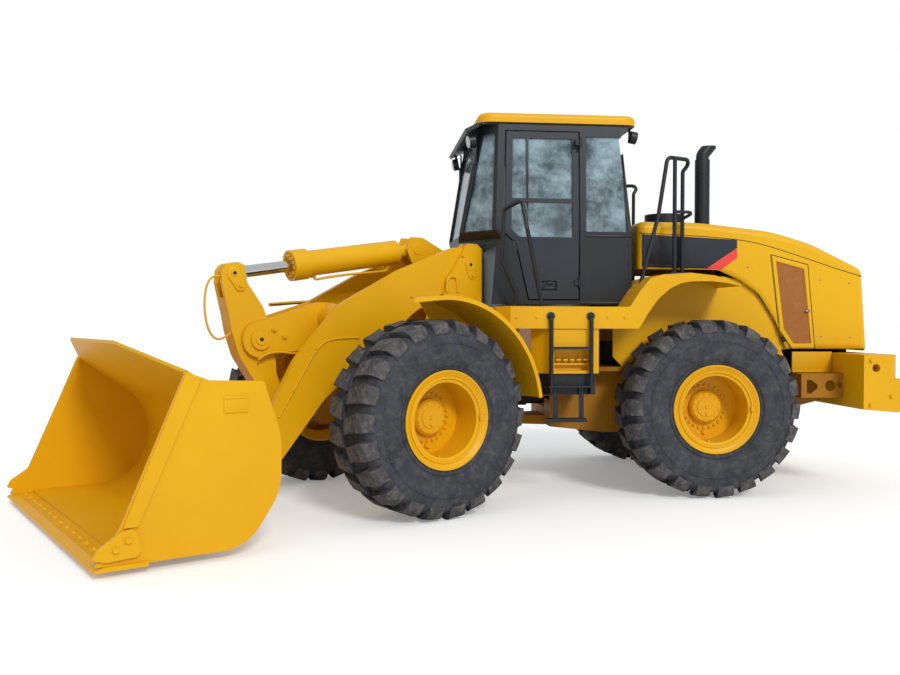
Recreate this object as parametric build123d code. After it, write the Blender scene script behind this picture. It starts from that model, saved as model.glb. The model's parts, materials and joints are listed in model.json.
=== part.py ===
from build123d import *
from math import atan2, cos, degrees, hypot, pi, radians, sin, tan
import os

# Articulated wheel loader, about 18 tonnes, with a general-purpose bucket on a Z-bar linkage.
# Millimetres. Every piece is first modelled in its own half's frame: +X forward, +Y left, +Z up, with the
# hitch pins' axis at x = y = 0 and the ground at z = 0. The front half is then turned about the hitch by
# steer_rest, and the whole machine is moved so that its origin is under the middle of its box.

# ---- Driving dimensions ----
steer_rest = 29.4             # the front half stands turned this far to the left, degrees
steer_limit = 40.0            # lock to each side from straight ahead, degrees
wheelbase = 3350.0
tread = 2140.0
tyre_radius = 800.0           # over the lugs' flats
tyre_width = 600.0
lug_height = 42.0
lug_count = 22                # on each shoulder
lug_lean = 0.44               # how far a lug leans back at the crown and forward at the shoulder, in strips
lug_gap = 0.12                # half the bare band at the crown, in half widths
bead_radius = 324.0
bead_inset = 36.0             # from the flange's face to the bead seat
rim_flange_radius = 398.0
rim_flange_face = 273.0       # from the wheel's middle plane
rim_barrel_radius = 300.0     # inside the barrel
hub_disc_depth = 304.0        # from the flange's face to the hub disc
hub_disc_thickness = 22.0
hub_cover_radius = 150.0
spindle_radius = 90.0
running_clearance = 0.05      # of a shaft in its bore
seat_gap = 0.3                # between pieces that seat on each other and turn
side_clearance = 6.0          # between a turning eye and the plates beside it
plate = 25.0                  # frame plate

# rear half
frame_half = 470.0            # outside of the rear frame's side plates
frame_bottom = 500.0
frame_top = 1150.0
frame_front = -350.0
frame_rear = -3110.0
hitch_radius = 62.0
hitch_upper_z = 1180.0
hitch_lower_z = 600.0
hitch_lug_radius = 135.0
hitch_tongue = 90.0           # thickness of the rear frame's tongues
platform_half = 1240.0
platform_top = 1715.0
box_bottom = 1120.0            # of the yellow side boxes
box_face = 1222.0
step_z = 1000.0                # the fixed step under them
platform_drop = 195.0         # height of the platform's edge beam
platform_front = 285.0
deck_inner = 800.0             # the deck's inner edge beside the tower's swing
fender_skin = 14.0
cab_half = 830.0
cab_floor = 1740.0
cab_sill = 2350.0             # where the glazed part begins
cab_top = 3410.0
cab_rear = -1045.0
cab_wall = 45.0
cab_front_low = 150.0
cab_tuck_height = 75.0
pane = 8.0
door_gap = 12.0
roof_top = cab_top + 110
hood_half = 700.0
hood_skin = 12.0
hood_edge = 70.0               # radius of the rounded upper edges
hood_edge_low = 2120.0         # those edges lie above this
counterweight_half = 1250.0
counterweight_front = -3110.0
counterweight_rear = -3549.0
counterweight_bottom = 748.0
counterweight_top = 1281.0
axle_tube_radius = 130.0
exhaust_radius = 75.0
rail_radius = 19.0

# front half: the linkage's pins in side view (x, z), with the bucket just off the ground
arm_pivot = (780.0, 2108.0)
bucket_pivot = (2990.0, 430.0)
bell_pivot = (2735.0, 1430.0)
rod_eye = (2945.0, 1975.0)
tilt_base = (1150.0, 2250.0)
bell_foot = (2450.0, 650.0)
link_head = (3090.0, 700.0)
lift_base = (830.0, 1450.0)
lift_eye = (2250.0, 1200.0)
lift_range = (-0.6, 80.0)
tilt_range = (-40.0, 48.0)
door_range = (0.0, 85.0)
hood_range = (0.0, 35.0)
hood_hinge = (-3430.0, 1400.0)
# how far each follower turns for each degree of the joint that it follows
bell_lift_ratio, bell_tilt_ratio = 1.1524, 0.1575
link_lift_ratio, link_tilt_ratio = 0.6277, -0.2141
tilt_barrel_lift_ratio, tilt_barrel_tilt_ratio = 1.2038, 0.0099
tilt_rod_travel = -75.3       # mm for each radian of tilt

arm_inner = 320.0
arm_thickness = 70.0
tower_plate = 24.0
arm_tube = (2080.0, 1600.0)
arm_tube_radius = 130.0
bell_half = 92.0
bell_boss_radius = 150.0
bracket_plate = 40.0
pin_radius = 45.0
lift_cylinder_y = 222.0
lift_barrel_radius = 65.0
lift_rod_radius = 42.0
tilt_barrel_radius = 112.0
tilt_rod_radius = 50.0

bucket_half = 1443.0
bucket_skin = 20.0
bucket_floor = 75.0
bucket_tip = 4390.0
bucket_back_slope = 36.0       # the straight upper sheet over the level floor
bucket_bend = 465.0            # inside radius of the back
bucket_bend_x = 3657.0         # where the floor meets the bend
bucket_lip = 4050.0            # the lip's front between its corners
bucket_lip_half = 644.0        # half the length of the lip's straight part
bucket_lip_corner = 3800.0     # the lip's front at the side plates
edge_thickness = 30.0
fender_arc_radius = 989.0
fender_tip = (2003.0, 1763.0)  # where the front fender's flat nose ends, at its outer edge
front_fender_outer = 1350.0
front_fender_inner = 745.0

# steering cylinders in plan: pin on the rear frame, pin on the front frame
steer_pin_rear = (-750.0, frame_half - 130)
steer_pin_front = (250.0, 300.0)
steer_z = 900.0
steer_barrel_radius = 50.0
steer_rod_radius = 28.0
steer_barrel_length = 650.0
steer_rod_length = 625.0
steer_pin_radius = 25.0
tow_pin_inset = 45.0
tow_pin_radius = 24.0
box_rear = -634.0              # the side boxes' rear ends
tie_down_x, tie_down_y, tie_down_z = 2105.0, 262.0, 1000.0
tie_down_radius = 22.0
tie_down_plate = 24.0
exhaust_top = 3380.0
stack_foot = 2480.0             # inside the hood's sheet, below its roof line

axle_x = wheelbase / 2
wheel_y = tread / 2


# ---- Helpers ----
def xz_face(points, radii=None):
    corners = [(x, 0, z) for x, z in points]
    if radii is None:
        return make_face(Polyline(*corners, close=True))
    return make_face(FilletPolyline(*corners, radius=radii, close=True))


def slab(points, y0, y1, radii=None):
    """A plate cut to a side-view outline, from y0 to y1."""
    face = Pos(0, y0, 0) * xz_face(points, radii)
    return extrude(face, amount=y1 - y0, dir=(0, 1, 0))


def deck(points, z0, z1):
    """A plate cut to a plan outline, from z0 to z1."""
    face = Pos(0, 0, z0) * make_face(Polyline(*[(x, y, 0) for x, y in points], close=True))
    return extrude(face, amount=z1 - z0, dir=(0, 0, 1))


def block(x0, x1, y0, y1, z0, z1):
    return Pos((x0 + x1) / 2, (y0 + y1) / 2, (z0 + z1) / 2) * Box(x1 - x0, y1 - y0, z1 - z0)


def rod(start, end, radius):
    """A round bar between two points."""
    a, b = Vector(*start), Vector(*end)
    return Plane(origin=a, z_dir=b - a) * Cylinder(
        radius, (b - a).length, align=(Align.CENTER, Align.CENTER, Align.MIN))


def pin_y(point, radius, y0, y1):
    """A round piece across the machine through a side-view point."""
    return rod((point[0], y0, point[1]), (point[0], y1, point[1]), radius)


def bent_tube(points, radius, bend):
    path = FilletPolyline(*points, radius=bend)
    start = path @ 0
    return sweep(Plane(origin=start, z_dir=path % 0) * Circle(radius), path=path)


def ribbon(points, thickness):
    """A side-view band of even thickness, on the right of the way its points run."""
    count = len(points)
    normals = []
    for (x0, z0), (x1, z1) in zip(points, points[1:]):
        length = hypot(x1 - x0, z1 - z0)
        normals.append(((z1 - z0) / length, -(x1 - x0) / length))
    inner = []
    for i, (x, z) in enumerate(points):
        a = normals[max(i - 1, 0)]
        b = normals[min(i, count - 2)]
        scale = thickness / (1 + a[0] * b[0] + a[1] * b[1])
        inner.append((x + (a[0] + b[0]) * scale, z + (a[1] + b[1]) * scale))
    return points + inner[::-1]


def both_sides(shape):
    return [shape, mirror(shape, about=Plane.XZ)]


def group(*shapes):
    """Separate solids that share one node."""
    solids = []
    for shape in shapes:
        for one in (shape if isinstance(shape, (list, tuple)) else [shape]):
            solids += one.solids()
    return solids[0] if len(solids) == 1 else Compound(solids)


def arc_points(centre, radius, start, end, steps):
    turn = (end - start) / steps
    return [(centre[0] + radius * cos(radians(start + turn * i)),
             centre[1] + radius * sin(radians(start + turn * i))) for i in range(steps + 1)]


def polar(point, angle, distance):
    return (point[0] + distance * cos(radians(angle)), point[1] + distance * sin(radians(angle)))


def bearing(start, end):
    return degrees(atan2(end[1] - start[1], end[0] - start[0]))


def span(start, end):
    return hypot(end[0] - start[0], end[1] - start[1])


# ---- Wheels ----
def tyre():
    """A tyre with flat facets: a ring of strips, every second one raised to a lug on each side of the crown."""
    half = tyre_width / 2
    base = tyre_radius - lug_height
    strips = 2 * lug_count
    step = 2 * pi / strips
    top = tyre_radius / cos(step / 2)
    lean = step * lug_lean
    heel = rim_flange_face - bead_inset - 6
    # distance from the middle plane, radius between lugs, radius on a lug (0 where there is none), lean
    stations = [(heel, (bead_radius + seat_gap) / cos(step / 2), 0, lean), (half - 6, 0.72 * base, 0, lean),
                (half - 10, base - 110, top - 100, lean), (half * 0.86, base - 6, top - 4, lean),
                (half * lug_gap, base, top, -lean)]
    shoulder, last = 2, len(stations) - 1

    def point(line, side, station, raised):
        y, low, high, shift = stations[station]
        if raised and station == shoulder:
            y = half
        radius = high if raised else low
        angle = step * (line + 0.5) + shift
        return (radius * sin(angle), side * y, -radius * cos(angle))

    faces = []

    def quad(*corners):
        faces.append(Face(Wire.make_polygon([corners[0], corners[1], corners[2]])))
        faces.append(Face(Wire.make_polygon([corners[0], corners[2], corners[3]])))

    for line in range(strips):
        for side in (1, -1):
            lifted = (line % 2 == 0) == (side > 0)
            for station in range(last):
                raised = lifted and station >= shoulder
                quad(point(line, side, station, raised), point(line + 1, side, station, raised),
                     point(line + 1, side, station + 1, raised), point(line, side, station + 1, raised))
                if raised:
                    for edge in (line, line + 1):
                        quad(point(edge, side, station, False), point(edge, side, station + 1, False),
                             point(edge, side, station + 1, True), point(edge, side, station, True))
            if lifted:
                for station in (shoulder, last):
                    quad(point(line, side, station, False), point(line + 1, side, station, False),
                         point(line + 1, side, station, True), point(line, side, station, True))
        for station in (0, last):
            quad(point(line, 1, station, False), point(line + 1, 1, station, False),
                 point(line + 1, -1, station, False), point(line, -1, station, False))
    return Solid(Shell(faces))


def rim():
    """A deep-dished rim with its flanges, lock ring, hub disc and final-drive cover; outside is +Y."""
    face = rim_flange_face
    inner = rim_barrel_radius
    disc = face - hub_disc_depth
    outline = [  # radius, distance from the middle plane
        (rim_flange_radius, face), (rim_flange_radius, face - 14), (bead_radius, face - bead_inset),
        (bead_radius, face - 80), (bead_radius - 10, face - 90), (bead_radius - 10, -face + 90),
        (bead_radius, -face + 80), (bead_radius, -face + bead_inset),
        (rim_flange_radius, -face + 14), (rim_flange_radius, -face), (rim_flange_radius - 14, -face),
        (inner, -face + 50), (inner, disc - hub_disc_thickness), (spindle_radius + running_clearance,
        disc - hub_disc_thickness), (spindle_radius + running_clearance, disc + 30), (0, disc + 30),
        (0, disc + 62), (hub_cover_radius - 20, disc + 62), (hub_cover_radius, disc + 40),
        (hub_cover_radius, disc), (inner, disc), (inner, face - 30), (inner + 22, face - 26),
        (inner + 30, face - 12), (inner + 44, face - 12), (inner + 48, face - 22),
        (rim_flange_radius - 24, face - 8), (rim_flange_radius - 14, face)]
    profile = make_face(Polyline(*[(r, y, 0) for r, y in outline], close=True))
    return revolve(profile, axis=Axis.Y)


def wheel_set(shape, x, side):
    turned = shape if side > 0 else mirror(shape, about=Plane.XZ)
    return Pos(x, side * wheel_y, tyre_radius) * turned


# ---- Rear half ----
def rear_frame():
    notch_z = tyre_radius + axle_tube_radius + 40
    side = slab([
        (frame_front, frame_bottom + 60), (-900, frame_bottom), (-1380, frame_bottom),
        (-axle_x + 200, notch_z), (-axle_x - 200, notch_z), (-2150, 640), (-2700, 700),
        (frame_rear, 800), (frame_rear, frame_top - 60), (-2300, frame_top), (-900, frame_top),
        (frame_front, hitch_upper_z + 100)], frame_half - plate * 1.2, frame_half)
    inner = frame_half - plate * 1.2
    front_wall = block(frame_front - plate, frame_front, -inner, inner, frame_bottom + 60, hitch_upper_z + 100)
    window = block(frame_front - 60, frame_front + 60, -180, 180, hitch_lower_z + 130, hitch_upper_z - 130)
    steer_slots = [block(frame_front - 60, frame_front + 60, 140, frame_half - 32, steer_z - 85, steer_z + 85)]
    front_wall -= window
    for slot in steer_slots:
        for one in both_sides(slot):
            front_wall -= one
    frame = front_wall
    for one in both_sides(side):
        frame += one
    for x in (-2150, -2650):
        frame += block(x - plate, x, -inner, inner, 820, frame_top - 100)
    frame += block(-880, -840, -inner, inner, frame_bottom, 640)
    for z in (hitch_lower_z, hitch_upper_z):
        tongue = deck([(frame_front, -240), (-60, -hitch_lug_radius), (0, -hitch_lug_radius),
                       (0, hitch_lug_radius), (-60, hitch_lug_radius), (frame_front, 240)],
                      z - hitch_tongue / 2, z + hitch_tongue / 2)
        tongue += rod((0, 0, z - hitch_tongue / 2), (0, 0, z + hitch_tongue / 2), hitch_lug_radius)
        frame += tongue
        frame -= rod((0, 0, z - 80), (0, 0, z + 80), hitch_radius)
    lug_x, lug_y = steer_pin_rear
    for z0, z1 in ((steer_z - 90, steer_z - 60), (steer_z + 60, steer_z + 90)):
        ear = block(lug_x - 70, lug_x + 70, lug_y - 70, inner, z0, z1)
        for one in both_sides(ear):
            frame += one
    for one in both_sides(rod((lug_x, lug_y, steer_z - 95), (lug_x, lug_y, steer_z + 95), steer_pin_radius)):
        frame -= one
    for one in both_sides(block(-1000, box_rear - 5, frame_half, 700, frame_top - 40, frame_top)):
        frame += one
    for one in sill_plates():
        frame += one
    return frame


def sill_plates():
    """Punched plates and a step between the rear wheels and the counterweight."""
    y = 900.0
    face = slab([(-2690, 1088), (frame_rear, 1088), (frame_rear, 860), (-2690, 860)], y - 20, y)
    face -= pin_y((-2980, 975), 52, y - 30, y + 10)
    face -= pin_y((-3070, 985), 30, y - 30, y + 10)
    face -= slab([(-2745, 1030), (-2790, 1030), (-2850, 985), (-2850, 950), (-2790, 900), (-2745, 900)],
                 y - 30, y + 10)
    face += block(frame_rear, -2690, frame_half, y, 1070, 1088)
    face += block(-2715, -2690, frame_half, y, 860, 1070)
    return both_sides(face)


def counterweight():
    half, rear = counterweight_half, counterweight_rear
    body = slab([
        (counterweight_front, counterweight_top), (rear + 93, counterweight_top), (rear + 93, 1053),
        (rear, 1053), (rear + 28, counterweight_bottom + 70), (rear + 100, counterweight_bottom),
        (counterweight_front, counterweight_bottom + 30)], -half, half)
    body = chamfer(body.edges().filter_by(Axis.Z).group_by(Axis.X)[0], 60)
    jaw = block(rear - 10, rear + 200, -110, 110, 860, 960)
    body -= jaw
    body -= rod((rear + tow_pin_inset, 0, 800), (rear + tow_pin_inset, 0, 1060), tow_pin_radius + 1)
    for one in both_sides(pin_y((-3230, 1160), 38, half - 160, half + 10)):
        body -= one
    return body


def tow_pin():
    x = counterweight_rear + tow_pin_inset
    shank = rod((x, 0, 805), (x, 0, 1053), tow_pin_radius)
    head = rod((x, 0, 1053), (x, 0, 1070), tow_pin_radius + 12)
    handle = bent_tube([(x, -22, 1065), (x, -22, 1140), (x, 22, 1140), (x, 22, 1065)], 7, 16)
    return shank + head + handle


def axle(x):
    case = Pos(x, 0, tyre_radius) * Sphere(235)
    case &= block(x - 215, x + 215, -230, 230, tyre_radius - 225, tyre_radius + 165)
    disc = wheel_y + rim_flange_face - hub_disc_depth
    inner_face = disc - hub_disc_thickness
    for side in (1, -1):
        case += pin_y((x, tyre_radius), axle_tube_radius, 0, side * (wheel_y - 380))
        case += Plane((x, side * (wheel_y - 480), tyre_radius), z_dir=(0, side, 0)) * Cone(
            axle_tube_radius, 225, 100, align=(Align.CENTER, Align.CENTER, Align.MIN))
        case += pin_y((x, tyre_radius), 225, side * (wheel_y - 380), side * (inner_face - 6))
        case += pin_y((x, tyre_radius), spindle_radius, side * (inner_face - 6), side * (disc + 25))
    pad_top = tyre_radius + axle_tube_radius + 40
    return case, pad_top


def rear_axle():
    case, pad_top = axle(-axle_x)
    for one in both_sides(block(-axle_x - 130, -axle_x + 130, frame_half - 170, frame_half - 30,
                                tyre_radius, pad_top)):
        case += one
    return case


def front_axle():
    case, pad_top = axle(axle_x)
    for one in both_sides(block(axle_x - 130, axle_x + 130, 240, 380, tyre_radius, pad_top)):
        case += one
    return case + front_shaft()


def engine():
    block_ = block(-2950, -1950, -360, 360, 1060, 1900)
    mounts = block(-2900, -2800, -frame_half + 30, frame_half - 30, 1060, 1100)
    mounts += block(-2100, -2000, -frame_half + 30, frame_half - 30, 1060, 1100)
    radiator = block(-3330, -3250, -560, 560, counterweight_top, 2000)
    fan = rod((-2950, 0, 1600), (-3250, 0, 1600), 60)
    return block_ + mounts + radiator + fan


def transmission():
    case = block(-1330, -860, -270, 270, 660, 1380)
    case = chamfer(case.edges().filter_by(Axis.X), 70)
    case += block(-1200, -1000, -frame_half + 30, frame_half - 30, 1000, 1060)
    return case + rod((-1330, 0, 1330), (-1950, 0, 1330), 230)


def rear_shafts():
    z = 790.0
    forward = rod((-860, 0, z), (-80, 0, z), 48) + rod((-200, 0, z), (-80, 0, z), 62)
    forward += Pos(0, 0, z) * Sphere(52) + rod((-80, 0, z), (0, 0, z), 30)
    back = rod((-1330, 0, z), (-axle_x + 215, 0, z), 48)
    return [forward, back]


def powertrain():
    """Engine with its radiator, transmission and shafts, as plain heavy pieces."""
    unit = engine() + transmission()
    for shaft in rear_shafts():
        unit += shaft
    return unit


def front_shaft():
    """From the hitch's universal joint to the front axle."""
    z = 790.0
    return rod((75, 0, z), (axle_x - 215, 0, z), 48) + rod((75, 0, z), (200, 0, z), 62)


# ---- Platforms, fenders, steps, rails ----
arch_top = [(-905, platform_top), (-1000, 1860), (-1095, 1972), (-1210, 2006), (-1470, 2022), (-1690, 2000),
            (-1830, 1962), (-1940, 1918)]
arch_low = [(-1934, 1906), (-1800, 1934), (-1670, 1948), (-1480, 1946), (-1380, 1930), (-1270, 1878),
            (-1165, 1786), (-1070, 1655), (-990, platform_top - platform_drop)]
# the inner wall goes on behind the fender, below the hood's edge
arch_wall = [(-2130, 1938), (-2315, 1812), (-2440, 1625), (-2560, 1360), (-2610, 1240), (-2610, frame_top)]


def rear_fenders():
    half = platform_half
    beam_low = platform_top - platform_drop
    taper = platform_front - 110
    top = deck([(-915, 700), (150, 700), (150, deck_inner), (platform_front, deck_inner),
                (platform_front, half - 110), (taper, half), (-915, half)],
               platform_top - fender_skin, platform_top)
    skirt = slab([(platform_front - 110, platform_top)] + arch_top + arch_low
                 + [(taper - 30, beam_low), (taper, beam_low + 30)], half - fender_skin, half)
    nose = deck([(taper, half), (platform_front, half - 110), (platform_front, half - 110 - fender_skin * 1.4),
                 (taper, half - fender_skin * 1.4)], beam_low + 40, platform_top)
    crown = slab(ribbon(arch_top[::-1], fender_skin), 690, half)
    inner = slab(arch_top + arch_wall + [(-1000, frame_top), (-905, frame_top + 100)], 690, 690 + fender_skin)
    side = top + skirt + nose + crown + inner
    side += block(-900, -880, 700, half, beam_low, platform_top)
    side += block(platform_front - 30, platform_front - 10, deck_inner, half - 130, beam_low + 40, platform_top)
    side -= block(cab_rear - 5, -700, 600, cab_half + 5, cab_floor - 10, 2200)
    return group(both_sides(side))


def service_boxes():
    """Boxes under the platforms with a ribbed step recess beside each ladder."""
    low, high = box_bottom, platform_top - platform_drop
    box = deck(box_plan(0), low, high)
    box = fillet(box.edges().filter_by(Axis.Z).sort_by(Axis.Y)[-2:], 25)
    box -= block(-545, -222, box_face - 90, box_face + 50, 1145, 1330)
    for i in range(5):
        x = -535 + i * 62
        box += block(x, x + 42, box_face - 90, box_face - 20, 1235, 1250)
    box += block(-545, -222, box_face - 90, box_face - 40, 1195, 1210)
    return group(both_sides(box))


def box_plan(inset):
    return [(box_rear + inset, frame_half), (-42 - inset, frame_half), (-42 - inset, 1080 - inset),
            (-190, box_face - inset), (box_rear + inset, box_face - inset)]


def ladders():
    """Black step carriers under the boxes, the posts in front of them and the hanging lowest steps."""
    half = platform_half
    y = half + 32
    front, rear = -185.0, -545.0
    side = deck(box_plan(30), step_z - 70, box_bottom) - deck(box_plan(60), step_z - 80, box_bottom - 30)
    side += block(rear - 20, front + 20, box_face - 60, y + 18, step_z, step_z + 16)
    for x in (front, rear):
        post = bent_tube([(x, half - 30, 1650), (x, y, 1600), (x, y, step_z + 5)], rail_radius, 20)
        post += rod((x, half, 1630), (x, half + 14, 1630), 36)
        side += post - block(x - 60, x + 60, 1000, half, 1500, 1700)
        side += block(x - 8, x + 8, box_face - 40, y + 18, step_z - 60, step_z + 4)
    side += block(rear, front, y - 15, y + 15, 1335, 1360)
    for x in (-235, -470):
        side += block(x - 22, x + 22, y - 60, y - 52, 715, step_z + 5)
    side += block(-510, -150, y - 100, y - 10, 690, 722)
    return group(both_sides(side))


def handrails():
    half = platform_half
    grab = bent_tube([(90, 1010, platform_top - 20), (90, 1010, 1850), (225, 1040, 2140), (205, 1060, 2590),
                      (78, 1245, 2647), (38, 1295, 2390), (-95, half - 25, 1800),
                      (-110, half - 25, platform_top - 20)], rail_radius, 45)
    back = bent_tube([(-930, 1000, platform_top - 40), (-1070, 1000, 1900), (-1255, 960, 2560), (-1350, 930, 3109),
                      (-1640, 800, 3109), (-1560, 760, 3010), (-1560, 760, 2026)], rail_radius, 60)
    post = rod((-1433, 900, 2026), (-1433, 900, 3109), rail_radius)
    mid = bent_tube([(-1433, 900, 2610), (-1640, 860, 2610), (-1560, 760, 2560)], rail_radius * 0.8, 40)
    foot = block(-1600, -1390, 740, 930, 1990, 2046)
    deck_top = slab(arch_top + [(-1940, 1200), (-905, 1200)], 600, 1300)
    deck_top += block(-905, platform_front, 600, 1300, 1200, platform_top)
    return group(both_sides(grab - deck_top), both_sides(back + post + mid + foot - deck_top))


def ladders_and_rails():
    return group(ladders(), handrails())


# ---- Cab ----
cab_low_plan = [(cab_rear, -cab_half), (245, -cab_half), (540, -490), (540, 490), (245, cab_half),
                (cab_rear, cab_half)]
cab_sill_plan = [(cab_rear, -cab_half), (163, -cab_half), (540, -395.5), (540, 395.5), (163, cab_half),
                 (cab_rear, cab_half)]
cab_high_half = cab_half - 45
cab_high_plan = [(-940, -cab_high_half), (214, -cab_high_half), (370, -605), (370, 605), (214, cab_high_half),
                 (-940, cab_high_half)]
cab_corner_half = 490.0        # where the low plan's corner panes meet the windscreen
side_cut = (cab_half - 230, cab_half + 70)   # what a side window's prism spans


def plan_face(points, z, inset=0.0):
    face = make_face(Polyline(*[(x, y, 0) for x, y in points], close=True))
    if inset:
        face = offset(face, amount=-inset, kind=Kind.INTERSECTION)
    return Pos(0, 0, z) * face


def cab_body(inset, z0, z1):
    tuck = cab_sill + cab_tuck_height
    low = loft([plan_face(cab_sill_plan, z0, inset), plan_face(cab_low_plan, tuck, inset)])
    return low + loft([plan_face(cab_low_plan, tuck, inset), plan_face(cab_high_plan, z1, inset)])


def cab_windows():
    """The window openings, each as a prism that cuts through its wall."""
    cuts = both_sides(slab([(-1000, cab_sill + 70), (-960, cab_top - 100), (-610, cab_top - 100),
                            (-610, cab_sill + 70)], *side_cut))
    cuts += both_sides(slab(door_window, *side_cut))
    plane = Plane((392.5, (cab_half + cab_corner_half) / 2, cab_sill), x_dir=(-0.6553, 0.7554, 0),
                  z_dir=(0.7554, 0.6553, 0))
    height = cab_top - cab_sill - 80
    corner = plane * make_face(Polyline((-180, 80), (21, height), (171, height), (180, 80), close=True))
    cuts += both_sides(extrude(corner, amount=160, both=True))
    front = Plane((0, 0, 0), x_dir=(0, 1, 0), z_dir=(1, 0, 0)) * make_face(Polyline(
        (-440, cab_sill + 50), (440, cab_sill + 50), (550, cab_top - 80), (-550, cab_top - 80), close=True))
    cuts.append(extrude(Pos(250, 0, 0) * front, amount=400, dir=(1, 0, 0)))
    cuts.append(block(-1150, -850, -620, 620, cab_sill + 130, cab_top - 110))
    return cuts


door_outline = [(-540, cab_floor + 50), (-540, cab_top - 65), (140, cab_top - 65), (160, cab_sill + 50),
                (50, cab_sill - 40), (-70, cab_floor + 50)]
door_window = [(-480, cab_sill + 15), (-480, cab_top - 125), (80, cab_top - 125), (97, cab_sill + 80),
               (20, cab_sill + 15)]
door_bar = (-480, 90, cab_sill + 340, cab_sill + 375)   # front to rear and up


def cab_shell():
    upper = cab_body(0, cab_sill, cab_top) - cab_body(cab_wall, cab_sill - 1, cab_top + 1)
    lower = block(cab_rear, cab_front_low, -cab_half, cab_half, cab_floor, cab_sill)
    lower -= block(cab_rear + cab_wall, cab_front_low - cab_wall, -cab_half + cab_wall, cab_half - cab_wall,
                   cab_floor + 40, cab_sill + 1)
    for side in (1, -1):
        y0, y1 = sorted((side * cab_half, side * (cab_half - 36)))
        lower += slab([(cab_front_low, cab_floor), (285, cab_floor), (240, cab_sill - 80), (163, cab_sill),
                       (cab_front_low, cab_sill)], y0, y1)
    cowl = extrude(plan_face(cab_sill_plan, cab_sill - 18), amount=18, dir=(0, 0, 1))
    cowl -= block(cab_rear - 10, cab_front_low, -900, 900, cab_sill - 50, cab_sill + 50)
    shell = upper + lower + cowl
    for cut in cab_windows():
        shell -= cut
    return shell + cab_visor()


def door_prism(gap):
    face = xz_face(door_outline)
    if gap:
        face = offset(face, amount=gap, kind=Kind.INTERSECTION)
    return extrude(Pos(0, side_cut[0], 0) * face, amount=350, dir=(0, 1, 0))


def cab_frame():
    return cab_shell() - door_prism(door_gap)


def cab_door():
    door = cab_shell() & door_prism(0)
    x0, x1, z0, z1 = door_bar
    door += block(x0, x1, cab_half - 40, cab_half - 8, z0, z1) & cab_body(4, cab_sill, cab_top)
    recess = block(-330, -190, cab_half - 25, cab_half + 10, cab_floor + 130, cab_floor + 220)
    door -= recess
    for z in (cab_floor + 160, cab_top - 210):
        door += rod((-545, cab_half + 16, z), (-545, cab_half + 16, z + 90), 13)
        door += block(-545, -500, cab_half - 50, cab_half + 16, z + 20, z + 70)
    return door


def pane_shell():
    return cab_body(18, cab_sill, cab_top) - cab_body(18 + pane, cab_sill - 1, cab_top + 1)


def cab_glass():
    glass = pane_shell()
    panes = []
    for cut in cab_windows():
        piece = glass & cut
        piece -= door_prism(door_gap)
        panes += piece.solids()
    return group(panes)


def door_glass():
    x0, x1, z0, z1 = door_bar
    piece = pane_shell() & slab(door_window, *side_cut)
    piece -= block(x0, x1, cab_half - 80, cab_half, z0, z1)
    return group(piece)


def cab_roof():
    half = cab_half - 40
    cap = extrude(plan_face([(-1110, -half), (394, -half), (394, half), (-1110, half)], cab_top + 20),
                  amount=roof_top - cab_top - 20, dir=(0, 0, 1))
    cap = fillet(cap.edges().filter_by(Axis.Z), 120)
    cap = fillet(cap.faces().sort_by(Axis.Z)[-1].edges(), 45)
    return cap


def cab_visor():
    """The black gutter under the cap, with its nose out over the windscreen."""
    half = cab_half - 70
    gutter = extrude(plan_face([(-1080, -half), (372, -half), (372, half), (-1080, half)], cab_top),
                     amount=20, dir=(0, 0, 1))
    nose = slab([(360, cab_top + 20), (400, cab_top + 20), (518, cab_top - 40), (500, cab_top - 70),
                 (360, cab_top)], -half + 40, half - 40)
    return gutter + nose


def lamps():
    front = Plane((450, 640, cab_top - 140), z_dir=(1, 0.15, -0.2)) * Cylinder(62, 60)
    front += rod((450, 640, cab_top - 120), (450, 640, cab_top), 12)
    front -= cab_visor()
    rear = Plane((-1110, 640, cab_top - 70), z_dir=(-1, 0, -0.2)) * Cylinder(58, 60)
    rear += rod((-1075, 640, cab_top - 70), (-1075, 640, cab_top), 12)
    rear += rod((-1110, 640, cab_top - 70), (-1070, 640, cab_top - 62), 12)
    return group(both_sides(front), both_sides(rear))


def seat():
    base = block(-620, -280, -180, 180, cab_floor + 40, cab_floor + 290)
    cushion = fillet(block(-700, -200, -250, 250, cab_floor + 290, cab_floor + 420).edges(), 40)
    back = fillet(slab([(-650, cab_floor + 330), (-780, cab_floor + 1020), (-880, cab_floor + 1020),
                        (-800, cab_floor + 330)], -240, 240).edges().filter_by(Axis.Y), 35)
    arm = block(-720, -330, 250, 310, cab_floor + 540, cab_floor + 600)
    return (base + cushion + back + arm + mirror(arm, about=Plane.XZ)
            + block(-780, -700, -310, 310, cab_floor + 540, cab_floor + 600))


def console():
    column = rod((60, 0, cab_floor + 40), (-30, 0, cab_floor + 720), 45)
    wheel = Plane((-40, 0, cab_floor + 760), z_dir=(-0.35, 0, 1)) * Torus(190, 16)
    spokes = Plane((-40, 0, cab_floor + 750), z_dir=(-0.35, 0, 1)) * Box(370, 30, 16)
    hub = rod((-30, 0, cab_floor + 715), (-42, 0, cab_floor + 765), 40)
    levers = block(-500, -120, -640, -420, cab_floor + 40, cab_floor + 560)
    floor = block(-400, 400, -100, 100, cab_floor - 100, cab_floor + 40)
    return [column + wheel + spokes + hub - floor, levers]


def cab_interior():
    return group(seat(), console())


# ---- Hood ----
hood_side = [(-1150, 2065), (-1150, 2540), (-1750, 2540), (-2500, 2460), (-2900, 2345), (-3420, 2100),
             (-3480, 1300), (-2620, 1300), (-2500, 1580), (-2340, 1835), (-2160, 1962), (-1960, 2050)]
hood_bends = [20, 60, 2600, 1500, 1200, 90, 20, 20, 900, 500, 400, 200]
screen = [(-2490, 2190), (-2826, 2105), (-2890, 1390), (-2600, 1390)]


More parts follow.
